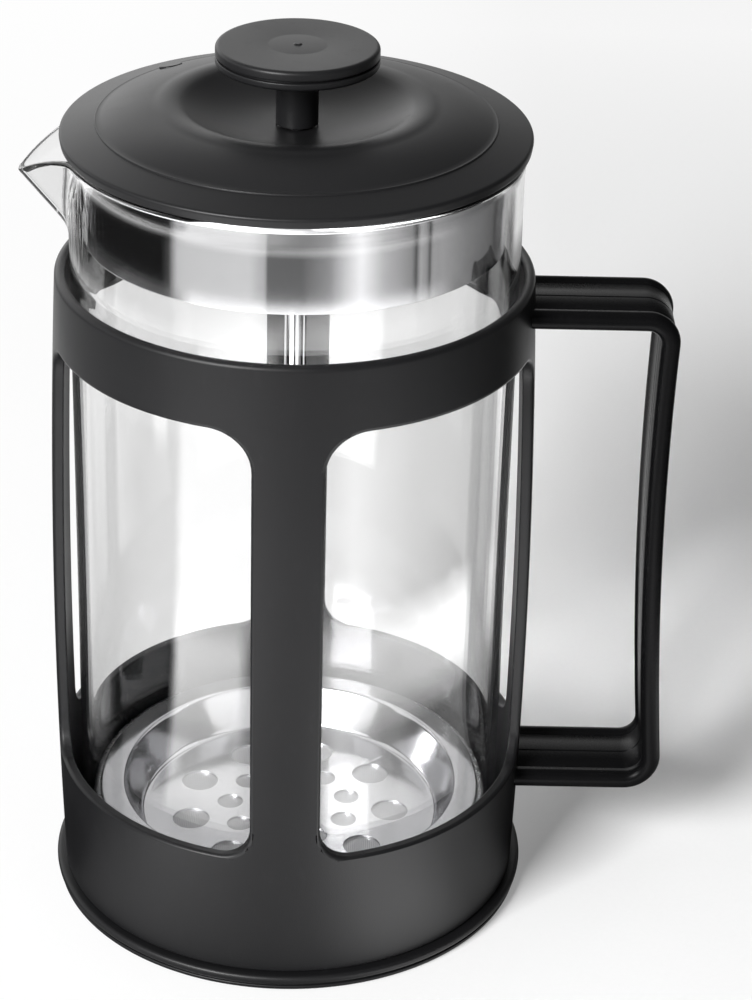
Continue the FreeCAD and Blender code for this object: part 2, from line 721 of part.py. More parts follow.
def spout_solid(name, apex, nose, height):
    """A rounded wedge running out and up from the wall, for the pouring lip."""
    sketch = free_sketch(f"{name}_sketch", tilt=0)
    drive(sketch, "Placement.Base.z", SPOUT_ROOT)
    spread = "sin(spout_half_angle * 1 deg)"
    gather = "cos(spout_half_angle * 1 deg)"
    slant = "tan(spout_half_angle * 1 deg)"
    centre = f"({apex} + {nose})"
    touch_x = f"({centre} - {nose} * {spread})"
    touch_y = f"({nose} * {gather})"
    back = f"({apex} + spout_depth)"
    back_y = f"({touch_y} + ({back} - {touch_x}) * {slant})"
    draw(sketch, [
        (back, f"-{back_y}"),
        (back, back_y),
        (touch_x, touch_y, f"-({nose} - {nose} * {spread})"),
        (touch_x, f"-{touch_y}"),
    ])
    solid = document.addObject("Part::Extrusion", name)
    solid.Base = sketch
    solid.DirMode = "Custom"
    solid.Dir = (0, 0, 1)
    drive(solid, "Dir.x", "-spout_slope")
    solid.Solid = True
    drive(solid, "LengthFwd", f"({height} - {SPOUT_ROOT}) * sqrt(1 + spout_slope * spout_slope)")
    return solid


def rounded(label, solid, belongs, size):
    """A fillet of one size on the edges that belong."""
    chosen = []
    for index, edge in enumerate(solid.Shape.Edges, start=1):
        if belongs(edge):
            chosen.append((index, number(size), number(size)))
    fillet = document.addObject("Part::Fillet", label)
    fillet.Label = label
    fillet.Base = solid
    fillet.Edges = chosen
    document.recompute()
    return fillet


def in_valley(edge):
    """Whether an edge runs where the lip leaves the drum."""
    drum = number("beaker_radius + 2 * rim_flare")
    root = number(SPOUT_ROOT) - NEAR
    ends = [vertex.Point for vertex in edge.Vertexes]
    on_drum = all(math.hypot(end.x, end.y) < drum for end in ends)
    return on_drum and all(end.x < 0 and end.z > root for end in ends)


def on_rim(edge):
    """Whether an edge runs along the rim or the lip, and not across their wall."""
    lowest = number(f"{RIM_TOP} - spout_dip") - NEAR
    across = edge.Curve.TypeId == "Part::GeomLine"
    return not across and all(vertex.Point.z > lowest for vertex in edge.Vertexes)


def make_beaker():
    """A blown drum with a lip drawn out on one side and dipped below the rim."""
    above = f"({RIM_TOP} + beaker_wall)"
    apex = "(-beaker_radius + spout_sink)"
    outside = combined(
        "MultiFuse", "glass_outside",
        glass_solid("drum_outside", "0", BEAKER_FOOT, "beaker_corner", RIM_TOP),
        spout_solid("lip_outside", apex, "spout_nose", RIM_TOP))
    hollow = combined(
        "MultiFuse", "glass_hollow",
        glass_solid("drum_hollow", "beaker_wall", CAVITY_FLOOR, "beaker_inner_corner", above),
        spout_solid("lip_hollow", f"({apex} + spout_wall)", "spout_inner_nose", above))
    shell = combined("Cut", "glass_shell", rounded("outside_blend", outside, in_valley, "spout_blend"),
                     rounded("hollow_blend", hollow, in_valley, "spout_blend"))
    dipped = combined("Cut", "glass_dipped", shell, make_dip())
    return rounded("beaker", dipped, on_rim, "rim_round")


def make_dip():
    """What the heated lip sags by: a round-backed cut across the mouth of the spout."""
    sketch = free_sketch("dip_sketch")
    run = "sqrt(2 * spout_dip_radius * spout_dip - spout_dip * spout_dip)"
    tip = f"(beaker_radius - spout_sink + ({RIM_TOP} - spout_dip - {SPOUT_ROOT}) * spout_slope)"
    start = f"({tip} - {run})"
    chord = f"({run} * {run} + spout_dip * spout_dip)"
    sag = f"(spout_dip_radius - sqrt(spout_dip_radius * spout_dip_radius - {chord} / 4))"
    beyond = f"({tip} + spout_dip * spout_slope + {PAST})"
    draw(sketch, [
        (f"-{start}", f"{RIM_TOP} + {PAST}"),
        (f"-{start}", RIM_TOP, f"-{sag}"),
        (f"-{tip}", f"{RIM_TOP} - spout_dip"),
        (f"-{beyond}", f"{RIM_TOP} - spout_dip"),
        (f"-{beyond}", f"{RIM_TOP} + {PAST}"),
    ])
    return extruded("dip", sketch, (0, 1, 0), "2 * beaker_radius", symmetric=True)


# --- lid --------------------------------------------------------------------

def make_lid_cap():
    """A moulded cap: flange, fine raised ring, rounded crest and a dish round the rod."""
    ring_outer = f"({LID_RING_RADIUS} + lid_ring_width / 2)"
    ring_inner = f"({LID_RING_RADIUS} - lid_ring_width / 2)"
    ring_top = f"({LID_RING} + lid_ring_step)"
    hollow_radius = f"({LID_RING_RADIUS} - lid_wall)"
    body = turned_body("lid_cap", [
        ("bush_radius", LID_BASE),
        ("lid_boss_radius", LID_BASE),
        (f"{LID_CREST_RADIUS} - lid_wall", f"{LID_CREST} - lid_wall", "-lid_shoulder_bulge"),
        (hollow_radius, f"{ring_top} - lid_wall"),
        (hollow_radius, LID_BASE),
        (f"{LID_RADIUS} - lid_draft", LID_BASE),
        (LID_RADIUS, f"{LID_EDGE_TOP} - lid_edge_round", f"-{QUARTER_BULGE} * lid_edge_round"),
        (f"{LID_RADIUS} - lid_edge_round", LID_EDGE_TOP),
        (ring_outer, LID_RING),
        (ring_outer, ring_top),
        (ring_inner, ring_top, "-lid_shoulder_bulge"),
        (f"{LID_CREST_RADIUS} + lid_crest_round", f"{LID_CREST} - lid_crest_sag", "-lid_crest_sag"),
        (f"{LID_CREST_RADIUS} - lid_crest_round", f"{LID_CREST} - lid_crest_sag", "lid_dish_sag"),
        ("lid_centre_radius", LID_CENTRE),
        ("bush_radius", LID_CENTRE),
    ])
    sketch = body_sketch(body, "pip_sketch", "XY_Plane")
    drive(sketch, "AttachmentOffset.Base.z", f"{LID_RING} - lid_wall / 2")
    x, y = on_circle(f"{LID_RING_RADIUS} - pip_inset", "pip_angle")
    draw_circle(sketch, x, y, "pip_radius")
    pip = body.newObject("PartDesign::Pad", "pip")
    pip.Profile = sketch
    drive(pip, "Length", "pip_rise - lid_ring_rise + lid_wall / 2")
    document.recompute()
    return body


def make_lid_liner():
    """A drawn steel cup under the cap: a flat disc with a straight skirt."""
    under = f"({LINER_TOP} - liner_wall)"
    foot = f"({LINER_TOP} - liner_skirt)"
    inner = f"({LINER_RADIUS} - liner_wall)"
    return turned_body("lid_liner", [
        ("bush_radius", under),
        (f"{inner} - liner_corner", under, f"{QUARTER_BULGE} * -liner_corner"),
        (inner, f"{under} - liner_corner"),
        (inner, foot),
        (LINER_RADIUS, foot),
        (LINER_RADIUS, f"{LINER_TOP} - liner_corner - liner_wall",
         f"{QUARTER_BULGE} * (liner_corner + liner_wall)"),
        (f"{LINER_RADIUS} - liner_corner - liner_wall", LINER_TOP),
        ("bush_radius", LINER_TOP),
    ])


def make_lid_bush():
    """A headed bush pressed up through liner and cap; the rod slides in it."""
    head_top = f"({LINER_TOP} - liner_wall)"
    return turned_body("lid_bush", [
        (BORE_RADIUS, f"{head_top} - bush_head"),
        ("bush_head_radius - rod_chamfer", f"{head_top} - bush_head"),
        ("bush_head_radius", f"{head_top} - bush_head + rod_chamfer"),
        ("bush_head_radius", head_top),
        ("bush_radius", head_top),
        ("bush_radius", f"{LID_CENTRE} - bush_recess"),
        (BORE_RADIUS, f"{LID_CENTRE} - bush_recess"),
    ])


# --- plunger ----------------------------------------------------------------

def make_knob():
    """Neck and lower plate of the knob, hollow for the insert and the rod's end."""
    return turned_body("knob", [
        ("insert_radius", KNOB_FOOT),
        ("knob_neck_radius", KNOB_FOOT),
        ("knob_neck_radius", f"{KNOB_BASE} - knob_neck_flare", f"{QUARTER_BULGE} * knob_neck_flare"),
        ("knob_neck_radius + knob_neck_flare", KNOB_BASE),
        ("knob_radius - knob_edge_round", KNOB_BASE, f"-{QUARTER_BULGE} * knob_edge_round"),
        ("knob_radius", f"{KNOB_BASE} + knob_edge_round"),
        ("knob_radius", KNOB_JOINT),
        ("knob_peg_radius", KNOB_JOINT),
        ("knob_peg_radius", f"{KNOB_JOINT} - knob_peg"),
        ("0", f"{KNOB_JOINT} - knob_peg"),
        ("0", ROD_TOP),
        ("rod_radius", ROD_TOP),
        ("rod_radius", INSERT_TOP),
        ("insert_radius", INSERT_TOP),
    ])


def make_knob_cap():
    """Upper disc of the knob, pegged into the plate with a shadow groove between."""
    ring_inner = "(knob_ring_radius - knob_ring_width / 2)"
    ring_outer = "(knob_ring_radius + knob_ring_width / 2)"
    recess = "(knob_radius - knob_joint_depth)"
    return turned_body("knob_cap", [
        ("0", f"{KNOB_JOINT} - knob_peg"),
        ("knob_peg_radius", f"{KNOB_JOINT} - knob_peg"),
        ("knob_peg_radius", KNOB_JOINT),
        (recess, KNOB_JOINT),
        (recess, KNOB_CAP_BASE),
        ("knob_radius", KNOB_CAP_BASE),
        ("knob_radius", f"{KNOB_TOP} - knob_edge_round", f"-{QUARTER_BULGE} * knob_edge_round"),
        ("knob_radius - knob_edge_round", KNOB_TOP),
        (ring_outer, KNOB_TOP),
        ("knob_ring_radius", f"{KNOB_TOP} - knob_ring_depth"),
        (ring_inner, KNOB_TOP),
        ("knob_nub_radius", KNOB_TOP),
        ("0", f"{KNOB_TOP} + knob_nub"),
    ])


def make_insert():
    """The brass sleeve moulded into the neck, threaded on to the rod."""
    return turned_body("knob_insert", [
        ("rod_radius", KNOB_FOOT),
        ("insert_radius", KNOB_FOOT),
        ("insert_radius", INSERT_TOP),
        ("rod_radius", INSERT_TOP),
    ])


def make_rod():
    """The steel rod from the hub of the filter up into the knob."""
    return turned_body("plunger_rod", [
        ("0", HUB_UNDER),
        ("rod_tip_radius - rod_chamfer", HUB_UNDER),
        ("rod_tip_radius", f"{HUB_UNDER} + rod_chamfer"),
        ("rod_tip_radius", PAN_TOP),
        ("rod_radius", PAN_TOP),
        ("rod_radius", ROD_TOP),
        ("0", ROD_TOP),
    ])


def make_collar():
    """The collar on the rod that the filter stack is clamped against."""
    return turned_body("rod_collar", [
        ("rod_radius", PAN_TOP),
        ("collar_radius", PAN_TOP),
        ("collar_radius", f"{PAN_TOP} + collar_height - rod_chamfer"),
        ("collar_radius - rod_chamfer", f"{PAN_TOP} + collar_height"),
        ("rod_radius", f"{PAN_TOP} + collar_height"),
    ])


def make_filter_plate():
    """The dished cover plate with two rings of round holes."""
    slope = f"({LEDGE_RADIUS} - {PAN_RADIUS}) / filter_pan_depth"
    skin = f"(filter_sheet * (sqrt(1 + {slope} * {slope}) - {slope}))"
    body = turned_body("filter_plate", [
        ("rod_tip_radius", PAN_UNDER),
        (f"{PAN_RADIUS} + {skin}", PAN_UNDER),
        (f"{LEDGE_RADIUS} + {skin}", f"{LEDGE_TOP} - filter_sheet"),
        (FILTER_RADIUS, f"{LEDGE_TOP} - filter_sheet"),
        (FILTER_RADIUS, LEDGE_TOP),
        (LEDGE_RADIUS, LEDGE_TOP),
        (PAN_RADIUS, PAN_TOP),
        ("rod_tip_radius", PAN_TOP),
    ])
    for name in ("large_hole", "small_hole"):
        drilled_circle(body, name, f"{name}_radius", f"{name}_circle", f"{name}_angle",
                       "filter_holes", PAN_TOP)
    return body


def make_coil():
    """The fine spring laid round under the plate's ledge, as one solid ring."""
    coil = document.addObject("Part::Torus", "filter_coil")
    coil.Label = "filter_coil"
    drive(coil, "Radius1", SPRING_CIRCLE)
    drive(coil, "Radius2", "spring_radius")
    drive(coil, "Placement.Base.z", SPRING_HEIGHT)
    document.recompute()
    return coil


def make_mesh():
    """The wire cloth: flat under the plate, up its slope and out under the spring."""
    slope = f"({LEDGE_RADIUS} - {PAN_RADIUS}) / filter_pan_depth"
    skin = f"(filter_sheet * (sqrt(1 + {slope} * {slope}) - {slope}))"
    cloth = f"(mesh_thickness * (sqrt(1 + {slope} * {slope}) - {slope}))"
    inner = f"({PAN_RADIUS} + {skin})"
    rise = f"({SPRING_UNDER} - {PAN_UNDER})"
    return turned_body("mesh_screen", [
        ("rod_tip_radius", MESH_UNDER),
        (f"{inner} + {cloth}", MESH_UNDER),
        (f"{inner} + {cloth} + {rise} * {slope}", f"{SPRING_UNDER} - mesh_thickness"),
        (MESH_RADIUS, f"{SPRING_UNDER} - mesh_thickness"),
        (MESH_RADIUS, SPRING_UNDER),
        (f"{inner} + {rise} * {slope}", SPRING_UNDER),
        (inner, PAN_UNDER),
        ("rod_tip_radius", PAN_UNDER),
    ])


def make_cross_plate():
    """The stamped ring and spokes that hold the cloth up against the plate."""
    body = turned_body("cross_plate", [
        ("rod_tip_radius", CROSS_UNDER),
        (CROSS_RADIUS, CROSS_UNDER),
        (CROSS_RADIUS, MESH_UNDER),
        ("rod_tip_radius", MESH_UNDER),
    ])
    inner = f"({CROSS_RADIUS} - cross_rim)"
    hub = "(hub_radius + cross_rim / 2)"
    half = "(cross_spoke / 2)"
    inner_edge = f"sqrt({inner} * {inner} - {half} * {half})"
    hub_edge = f"sqrt({hub} * {hub} - {half} * {half})"
    rim_sag = f"({inner} * (1 - cos((90 - 2 * asin({half} / {inner}) / (1 deg)) / 2 * 1 deg)))"
    hub_sag = f"({hub} * (1 - cos((90 - 2 * asin({half} / {hub}) / (1 deg)) / 2 * 1 deg)))"
    sketch = body_sketch(body, "gap_sketch", "XY_Plane")
    drive(sketch, "AttachmentOffset.Base.z", MESH_UNDER)
    draw(sketch, [
        (hub_edge, half),
        (inner_edge, half, f"-{rim_sag}"),
        (half, inner_edge),
        (half, hub_edge, hub_sag),
    ])
    gap = body.newObject("PartDesign::Pocket", "gap")
    gap.Profile = sketch
    gap.Type = "ThroughAll"
    gap.Midplane = True
    document.recompute()
    pattern_round(body, "gaps", gap, sketch, "cross_spokes")
    return body


def make_hub():
    """The hexagonal nut on the rod's tip under the cross plate."""
    nut = document.addObject("Part::Prism", "hub_blank")
    nut.Polygon = 6
    drive(nut, "Circumradius", "hub_radius")
    drive(nut, "Height", "hub_height")
    drive(nut, "Placement.Base.z", HUB_UNDER)
    hole = document.addObject("Part::Cylinder", "hub_thread")
    drive(hole, "Radius", "rod_tip_radius")
    drive(hole, "Height", "3 * hub_height")
    drive(hole, "Placement.Base.z", f"{HUB_UNDER} - hub_height")
    return combined("Cut", "hub_nut", nut, hole)


# --- build and write ----------------------------------------------------------

PARTS = (
    make_cage,
    make_base,
    make_handle,
    make_beaker,
    make_lid_cap,
    make_lid_liner,
    make_lid_bush,
    make_knob,
    make_knob_cap,
    make_insert,
    make_rod,
    make_collar,
    make_filter_plate,
    make_coil,
    make_mesh,
    make_cross_plate,
    make_hub,
)


def main():
    """Builds every sub-part, checks it and writes it to its own file."""
    made = [make() for make in PARTS]
    document.recompute()
    for item in document.Objects:
        if "Invalid" in item.State or "Error" in item.State:
            raise ValueError(f"{item.Name} did not compute")
    os.makedirs("parts", exist_ok=True)
    for item in made:
        if item.Shape.isNull() or not item.Shape.isValid():
            raise ValueError(f"{item.Label} has no valid shape")
        item.Shape.exportStep(f"parts/{item.Label}.step")
        print(f"{item.Label}: {len(item.Shape.Solids)} solid, {item.Shape.Volume:.0f} mm3")


main()
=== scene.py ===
"""Looks of a french press: cage, base, handle, beaker, lid and plunger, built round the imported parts."""

import logging
import math
from collections.abc import Callable
from dataclasses import dataclass, field
from enum import Enum

import bpy
import numpy as np
from mathutils import Matrix, Vector


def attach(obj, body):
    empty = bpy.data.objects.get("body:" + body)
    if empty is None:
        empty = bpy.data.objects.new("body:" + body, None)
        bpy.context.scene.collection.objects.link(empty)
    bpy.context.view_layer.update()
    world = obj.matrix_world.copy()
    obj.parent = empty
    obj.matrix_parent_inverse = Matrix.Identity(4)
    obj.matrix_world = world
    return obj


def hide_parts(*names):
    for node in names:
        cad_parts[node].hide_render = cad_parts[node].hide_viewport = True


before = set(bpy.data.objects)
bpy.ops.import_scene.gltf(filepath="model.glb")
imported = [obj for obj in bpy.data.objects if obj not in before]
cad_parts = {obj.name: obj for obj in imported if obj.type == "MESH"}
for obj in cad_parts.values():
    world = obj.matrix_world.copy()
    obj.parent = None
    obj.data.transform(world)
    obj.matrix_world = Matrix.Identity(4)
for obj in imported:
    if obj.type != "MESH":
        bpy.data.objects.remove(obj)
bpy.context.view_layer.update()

MM = 0.001
FULL_TURN = 2 * math.pi
log = logging.getLogger("french_press")

Point = tuple[float, float]
Corner = tuple[float, float, float]
Colour = tuple[float, float, float]

# Beside each rounding, an outline gets a point that keeps the straight run next to it flat.
HOLD_MOST = 1.0
HOLD_SHARE = 0.4
HOLD_ROOM = 4


class Body(Enum):
    """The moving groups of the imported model."""

    FRAME = "frame"
    GLASS = "glass"
    LID = "lid"
    PLUNGER = "plunger"


class Slot(Enum):
    """The record's material slots."""

    FRAME_PLASTIC = "frame_plastic"
    LID_PLASTIC = "lid_plastic"
    BEAKER_GLASS = "beaker_glass"
    POLISHED_STEEL = "polished_steel"
    WIRE_STEEL = "wire_steel"
    INSERT_BRASS = "insert_brass"


# --- outlines ---------------------------------------------------------------


def eased(corners: list[Corner], steps: int = 6) -> list[Point]:
    """Rounds the corners of an outline and holds the straight runs between them flat.

    Args:
        corners: Radius, height and rounding of each corner, in millimetres.
        steps: Straight runs in each rounding.

    Returns:
        The points of the rounded outline; the first and last corners stay sharp.
    """
    reaches = [0.0] * len(corners)
    for index, (x, y, rounding) in enumerate(corners[1:-1], 1):
        sides = [Vector(corners[near][:2]) - Vector((x, y)) for near in (index - 1, index + 1)]
        reaches[index] = rounding / math.tan(sides[0].angle(sides[1]) / 2)
    line: list[Point] = []
    for index, (x, y, rounding) in enumerate(corners):
        if reaches[index] == 0:
            line.append((x, y))
            continue
        here = Vector((x, y))
        back, ahead = (Vector(corners[near][:2]) - here for near in (index - 1, index + 1))
        hold = min(rounding, HOLD_MOST) * HOLD_SHARE
        room_back = back.length - reaches[index - 1] - reaches[index] > HOLD_ROOM * hold
        room_ahead = ahead.length - reaches[index + 1] - reaches[index] > HOLD_ROOM * hold
        half = back.angle(ahead) / 2
        centre = here + (back.normalized() + ahead.normalized()).normalized() * (rounding / math.sin(half))
        start = here + back.normalized() * reaches[index] - centre
        finish = here + ahead.normalized() * reaches[index] - centre
        turn = start.angle_signed(finish)
        if room_back:
            line.append(tuple(here + back.normalized() * (reaches[index] + hold)))
        for step in range(steps + 1):
            spoke = Vector(start)
            spoke.rotate(Matrix.Rotation(-turn * step / steps, 2))
            line.append(tuple(centre + spoke))
        if room_ahead:
            line.append(tuple(here + ahead.normalized() * (reaches[index] + hold)))
    return line


def bowed(start: Point, end: Point, bulge: float, steps: int = 12) -> list[Point]:
    """A shallow arc between two points.

    Args:
        start: First point, in millimetres.
        end: Last point, in millimetres.
        bulge: How far the middle stands off the chord, positive to its left.
        steps: Straight runs in the arc.

    Returns:
        The points between start and end, both left out.
    """
    chord = Vector(end) - Vector(start)
    radius = chord.length ** 2 / 8 / abs(bulge) + abs(bulge) / 2
    left = Vector((-chord.y, chord.x)).normalized()
    centre = (Vector(start) + Vector(end)) / 2 + left * (bulge - math.copysign(radius, bulge))
    spoke = Vector(start) - centre
    turn = -math.copysign(4 * math.atan(2 * abs(bulge) / chord.length), bulge)
    points = []
    for step in range(1, steps):
        part = Vector(spoke)
        part.rotate(Matrix.Rotation(turn * step / steps, 2))
        points.append(tuple(centre + part))
    return points


# --- hand work --------------------------------------------------------------


class Bench:
    """The hand operations that the pieces are made with. Lengths are in millimetres."""

    TRACE_MERGE = 0.0001
    TIDY_MERGE = 0.001

    @staticmethod
    def clear() -> None:
        """Leaves edit mode and deselects everything."""
        if bpy.context.object is not None and bpy.context.object.mode != "OBJECT":
            bpy.ops.object.mode_set(mode="OBJECT")
        bpy.ops.object.select_all(action="DESELECT")

    @classmethod
    def pick(cls, piece: bpy.types.Object) -> None:
        """Selects one piece alone and makes it the active one.

        Args:
            piece: The piece to work on.
        """
        cls.clear()
        bpy.context.view_layer.objects.active = piece
        piece.select_set(True)

    @staticmethod
    def named(name: str) -> bpy.types.Object:
        """Names the active object and its mesh.

        Args:
            name: The new name.

        Returns:
            The active object.
        """
        piece = bpy.context.object
        piece.name = name
        piece.data.name = name
        return piece

    @classmethod
    def modified(cls, piece: bpy.types.Object, kind: str, **settings: object) -> None:
        """Adds one modifier to a piece, sets it and applies it.

        Args:
            piece: The piece to change.
            kind: The modifier's type.
            **settings: What is set on the modifier, by attribute name.
        """
        cls.pick(piece)
        modifier = piece.modifiers.new(kind.lower(), kind)
        for name, value in settings.items():
            setattr(modifier, name, value)
        bpy.ops.object.modifier_apply(modifier=modifier.name)

    @classmethod
    def seed(cls, name: str, x: float, y: float, z: float) -> bpy.types.Object:
        """Starts a mesh from a plane merged to one point.

        Args:
            name: Name of the new piece.
            x: Place of the point.
            y: Place of the point.
            z: Place of the point.

        Returns:
            The new object, in edit mode with its point selected.
        """
        cls.clear()
        bpy.ops.mesh.primitive_plane_add(size=MM)
        piece = cls.named(name)
        bpy.ops.object.mode_set(mode="EDIT")
        bpy.ops.mesh.select_mode(type="VERT")
        bpy.ops.mesh.select_all(action="SELECT")
        bpy.ops.mesh.merge(type="CENTER")
        bpy.ops.transform.translate(value=(x * MM, y * MM, z * MM))
        return piece

    @staticmethod
    def pull(x: float, y: float, z: float) -> None:
        """Extrudes the selection by a step."""
        bpy.ops.mesh.extrude_region_move(TRANSFORM_OT_translate={"value": (x * MM, y * MM, z * MM)})

    @classmethod
    def trace(cls, name: str, points: list[Vector], closed: bool) -> bpy.types.Object:
        """Draws a line of edges by extruding one point along it.

        Args:
            name: Name of the new piece.
            points: Corners of the line, in millimetres.
            closed: Whether the last point joins the first.

        Returns:
            The new object, in edit mode with all of it selected.
        """
        piece = cls.seed(name, *points[0])
        route = points[1:] + ([points[0]] if closed else [])
        here = points[0]
        for there in route:
            cls.pull(*(there - here))
            here = there
        bpy.ops.mesh.select_all(action="SELECT")
        bpy.ops.mesh.remove_doubles(threshold=cls.TRACE_MERGE * MM)
        return piece

    @classmethod
    def turned(cls, name: str, outline: list[Point], steps: int = 192, closed: bool = True) -> bpy.types.Object:
        """Spins an outline of radius and height round the upright axis.

        Args:
            name: Name of the new piece.
            outline: Points of radius and height, in millimetres.
            steps: Divisions round the axis.
            closed: Whether the outline is closed away from the axis.

        Returns:
            The new object, finished and in object mode.
        """
        piece = cls.trace(name, [Vector((r, 0, z)) for r, z in outline], closed)
        bpy.ops.mesh.spin(steps=steps, angle=FULL_TURN, center=(0, 0, 0), axis=(0, 0, 1))
        cls.tidy(piece)
        return piece

    @classmethod
    def tidy(cls, piece: bpy.types.Object, angle: float = 32) -> None:
        """Merges doubles, turns faces outwards and smooths the shading.

        Args:
            piece: The piece to finish.
            angle: Edges flatter than this are shaded smooth, in degrees.
        """
        cls.pick(piece)
        bpy.ops.object.mode_set(mode="EDIT")
        bpy.ops.mesh.select_all(action="SELECT")
        bpy.ops.mesh.remove_doubles(threshold=cls.TIDY_MERGE * MM)
        bpy.ops.mesh.normals_make_consistent(inside=False)
        bpy.ops.object.mode_set(mode="OBJECT")
        bpy.ops.object.transform_apply(location=True, rotation=True, scale=True)
        bpy.ops.object.shade_smooth_by_angle(angle=math.radians(angle))

    @classmethod
    def disc(cls, name: str, radius: float, bottom: float, top: float, steps: int = 96) -> bpy.types.Object:
        """A round bar or disc about the upright axis.

        Args:
            name: Name of the new piece.
            radius: Its radius.
            bottom: Height of its lower end.
            top: Height of its upper end.
            steps: Divisions round the axis.

        Returns:
            The new object.
        """
        cls.clear()
        middle = (0, 0, (top + bottom) / 2 * MM)
        bpy.ops.mesh.primitive_cylinder_add(
            vertices=steps, radius=radius * MM, depth=(top - bottom) * MM, location=middle)
        return cls.named(name)

    @classmethod
    def joined(cls, name: str, pieces: list[bpy.types.Object]) -> bpy.types.Object:
        """Joins several pieces into one mesh.

        Args:
            name: Name of the joined piece.
            pieces: What is joined, the first of them taking the rest in.

        Returns:
            The joined piece.
        """
        cls.clear()
        for piece in pieces:
            piece.select_set(True)
        bpy.context.view_layer.objects.active = pieces[0]
        bpy.ops.object.join()
        return cls.named(name)

    @classmethod
    def cut(cls, piece: bpy.types.Object, cutter: bpy.types.Object) -> None:
        """Takes a cutter out of a piece and throws the cutter away."""
        cls.modified(piece, "BOOLEAN", operation="DIFFERENCE", solver="EXACT", object=cutter)
        bpy.data.objects.remove(cutter)

    @classmethod
    def soften(cls, piece: bpy.types.Object, width: float, segments: int = 3, angle: float = 40) -> None:
        """Rounds a piece's sharp edges.

        Args:
            piece: The piece to soften.
            width: Width of the rounding.
            segments: Straight runs in the rounding.
            angle: Edges sharper than this are rounded, in degrees.
        """
        cls.modified(piece, "BEVEL", width=width * MM, segments=segments, limit_method="ANGLE",
                     angle_limit=math.radians(angle), use_clamp_overlap=True)

    @staticmethod
    def mark_edges(piece: bpy.types.Object, chosen: list[int]) -> None:
        """Selects edges by number and goes into edit mode to work on them.

        Args:
            piece: The active piece, in object mode.
            chosen: Numbers of the edges.
        """
        mesh = piece.data
        for part in (mesh.vertices, mesh.edges, mesh.polygons):
            part.foreach_set("select", [False] * len(part))
        for index in chosen:
            mesh.edges[index].select = True
        bpy.ops.object.mode_set(mode="EDIT")
        bpy.ops.mesh.select_mode(type="EDGE")

    @classmethod
    def choose_edges(cls, piece: bpy.types.Object, wanted: Callable[[Vector, Vector], bool]) -> None:
        """Selects, in edit mode, the edges that pass a test.

        Args:
            piece: The active piece.
            wanted: The test, given the edge's middle and its direction.
        """
        bpy.ops.object.mode_set(mode="OBJECT")
        spots = piece.data.vertices
        chosen = []
        for edge in piece.data.edges:
            first, last = (spots[index].co / MM for index in edge.vertices)
            if wanted((first + last) / 2, last - first):
                chosen.append(edge.index)
        cls.mark_edges(piece, chosen)


# --- shader wiring ----------------------------------------------------------


def feed(tree: bpy.types.NodeTree, socket: bpy.types.NodeSocket, value: object) -> None:
    """Links an input to a wire or socket, or sets it to a plain value.

    Args:
        tree: The tree that the input is in.
        socket: The input.
        value: A wire, an output socket, a number, a colour or a vector.
    """
    value = value.value if isinstance(value, Wire) else value
    if isinstance(value, bpy.types.NodeSocket):
        tree.links.new(value, socket)
    elif socket.type == "RGBA" and len(value) == 3:
        socket.default_value = (*value, 1)
    else:
        socket.default_value = value


class Wire:
    """A socket or a number that shader maths can be written with."""

    def __init__(self, tree: bpy.types.NodeTree, value: "bpy.types.NodeSocket | float") -> None:
        """Keeps the tree and the output socket or number."""
        self.tree = tree
        self.value = value

    def _math(self, operation: str, first: "Wire | float", second: "Wire | float") -> "Wire":
        """Adds a Math node.

        Args:
            operation: What the node works out.
            first: Its first input.
            second: Its second input.

        Returns:
            The node's output.
        """
        node = self.tree.nodes.new("ShaderNodeMath")
        node.operation = operation
        for socket, value in zip(node.inputs, (first, second)):
            feed(self.tree, socket, value)
        return Wire(self.tree, node.outputs[0])

    def __add__(self, other: "Wire | float") -> "Wire":
        """This plus other."""
        return self._math("ADD", self, other)

    __radd__ = __add__

    def __sub__(self, other: "Wire | float") -> "Wire":
        """This less other."""
        return self._math("SUBTRACT", self, other)

    def __rsub__(self, other: "Wire | float") -> "Wire":
        """Other less this."""
        return self._math("SUBTRACT", other, self)

    def __mul__(self, other: "Wire | float") -> "Wire":
        """This times other."""
        return self._math("MULTIPLY", self, other)

    __rmul__ = __mul__

    def __truediv__(self, other: "Wire | float") -> "Wire":
        """This over other."""
        return self._math("DIVIDE", self, other)

    def __pow__(self, other: "Wire | float") -> "Wire":
        """This to the power of other."""
        return self._math("POWER", self, other)

    def least(self, other: "Wire | float") -> "Wire":
        """The lesser of this and other."""
        return self._math("MINIMUM", self, other)

    def bearing(self, other: "Wire | float") -> "Wire":
        """The angle whose tangent is this over other, from -0.5 to 0.5 of a turn."""
        return self._math("ARCTAN2", self, other) * (1 / FULL_TURN)


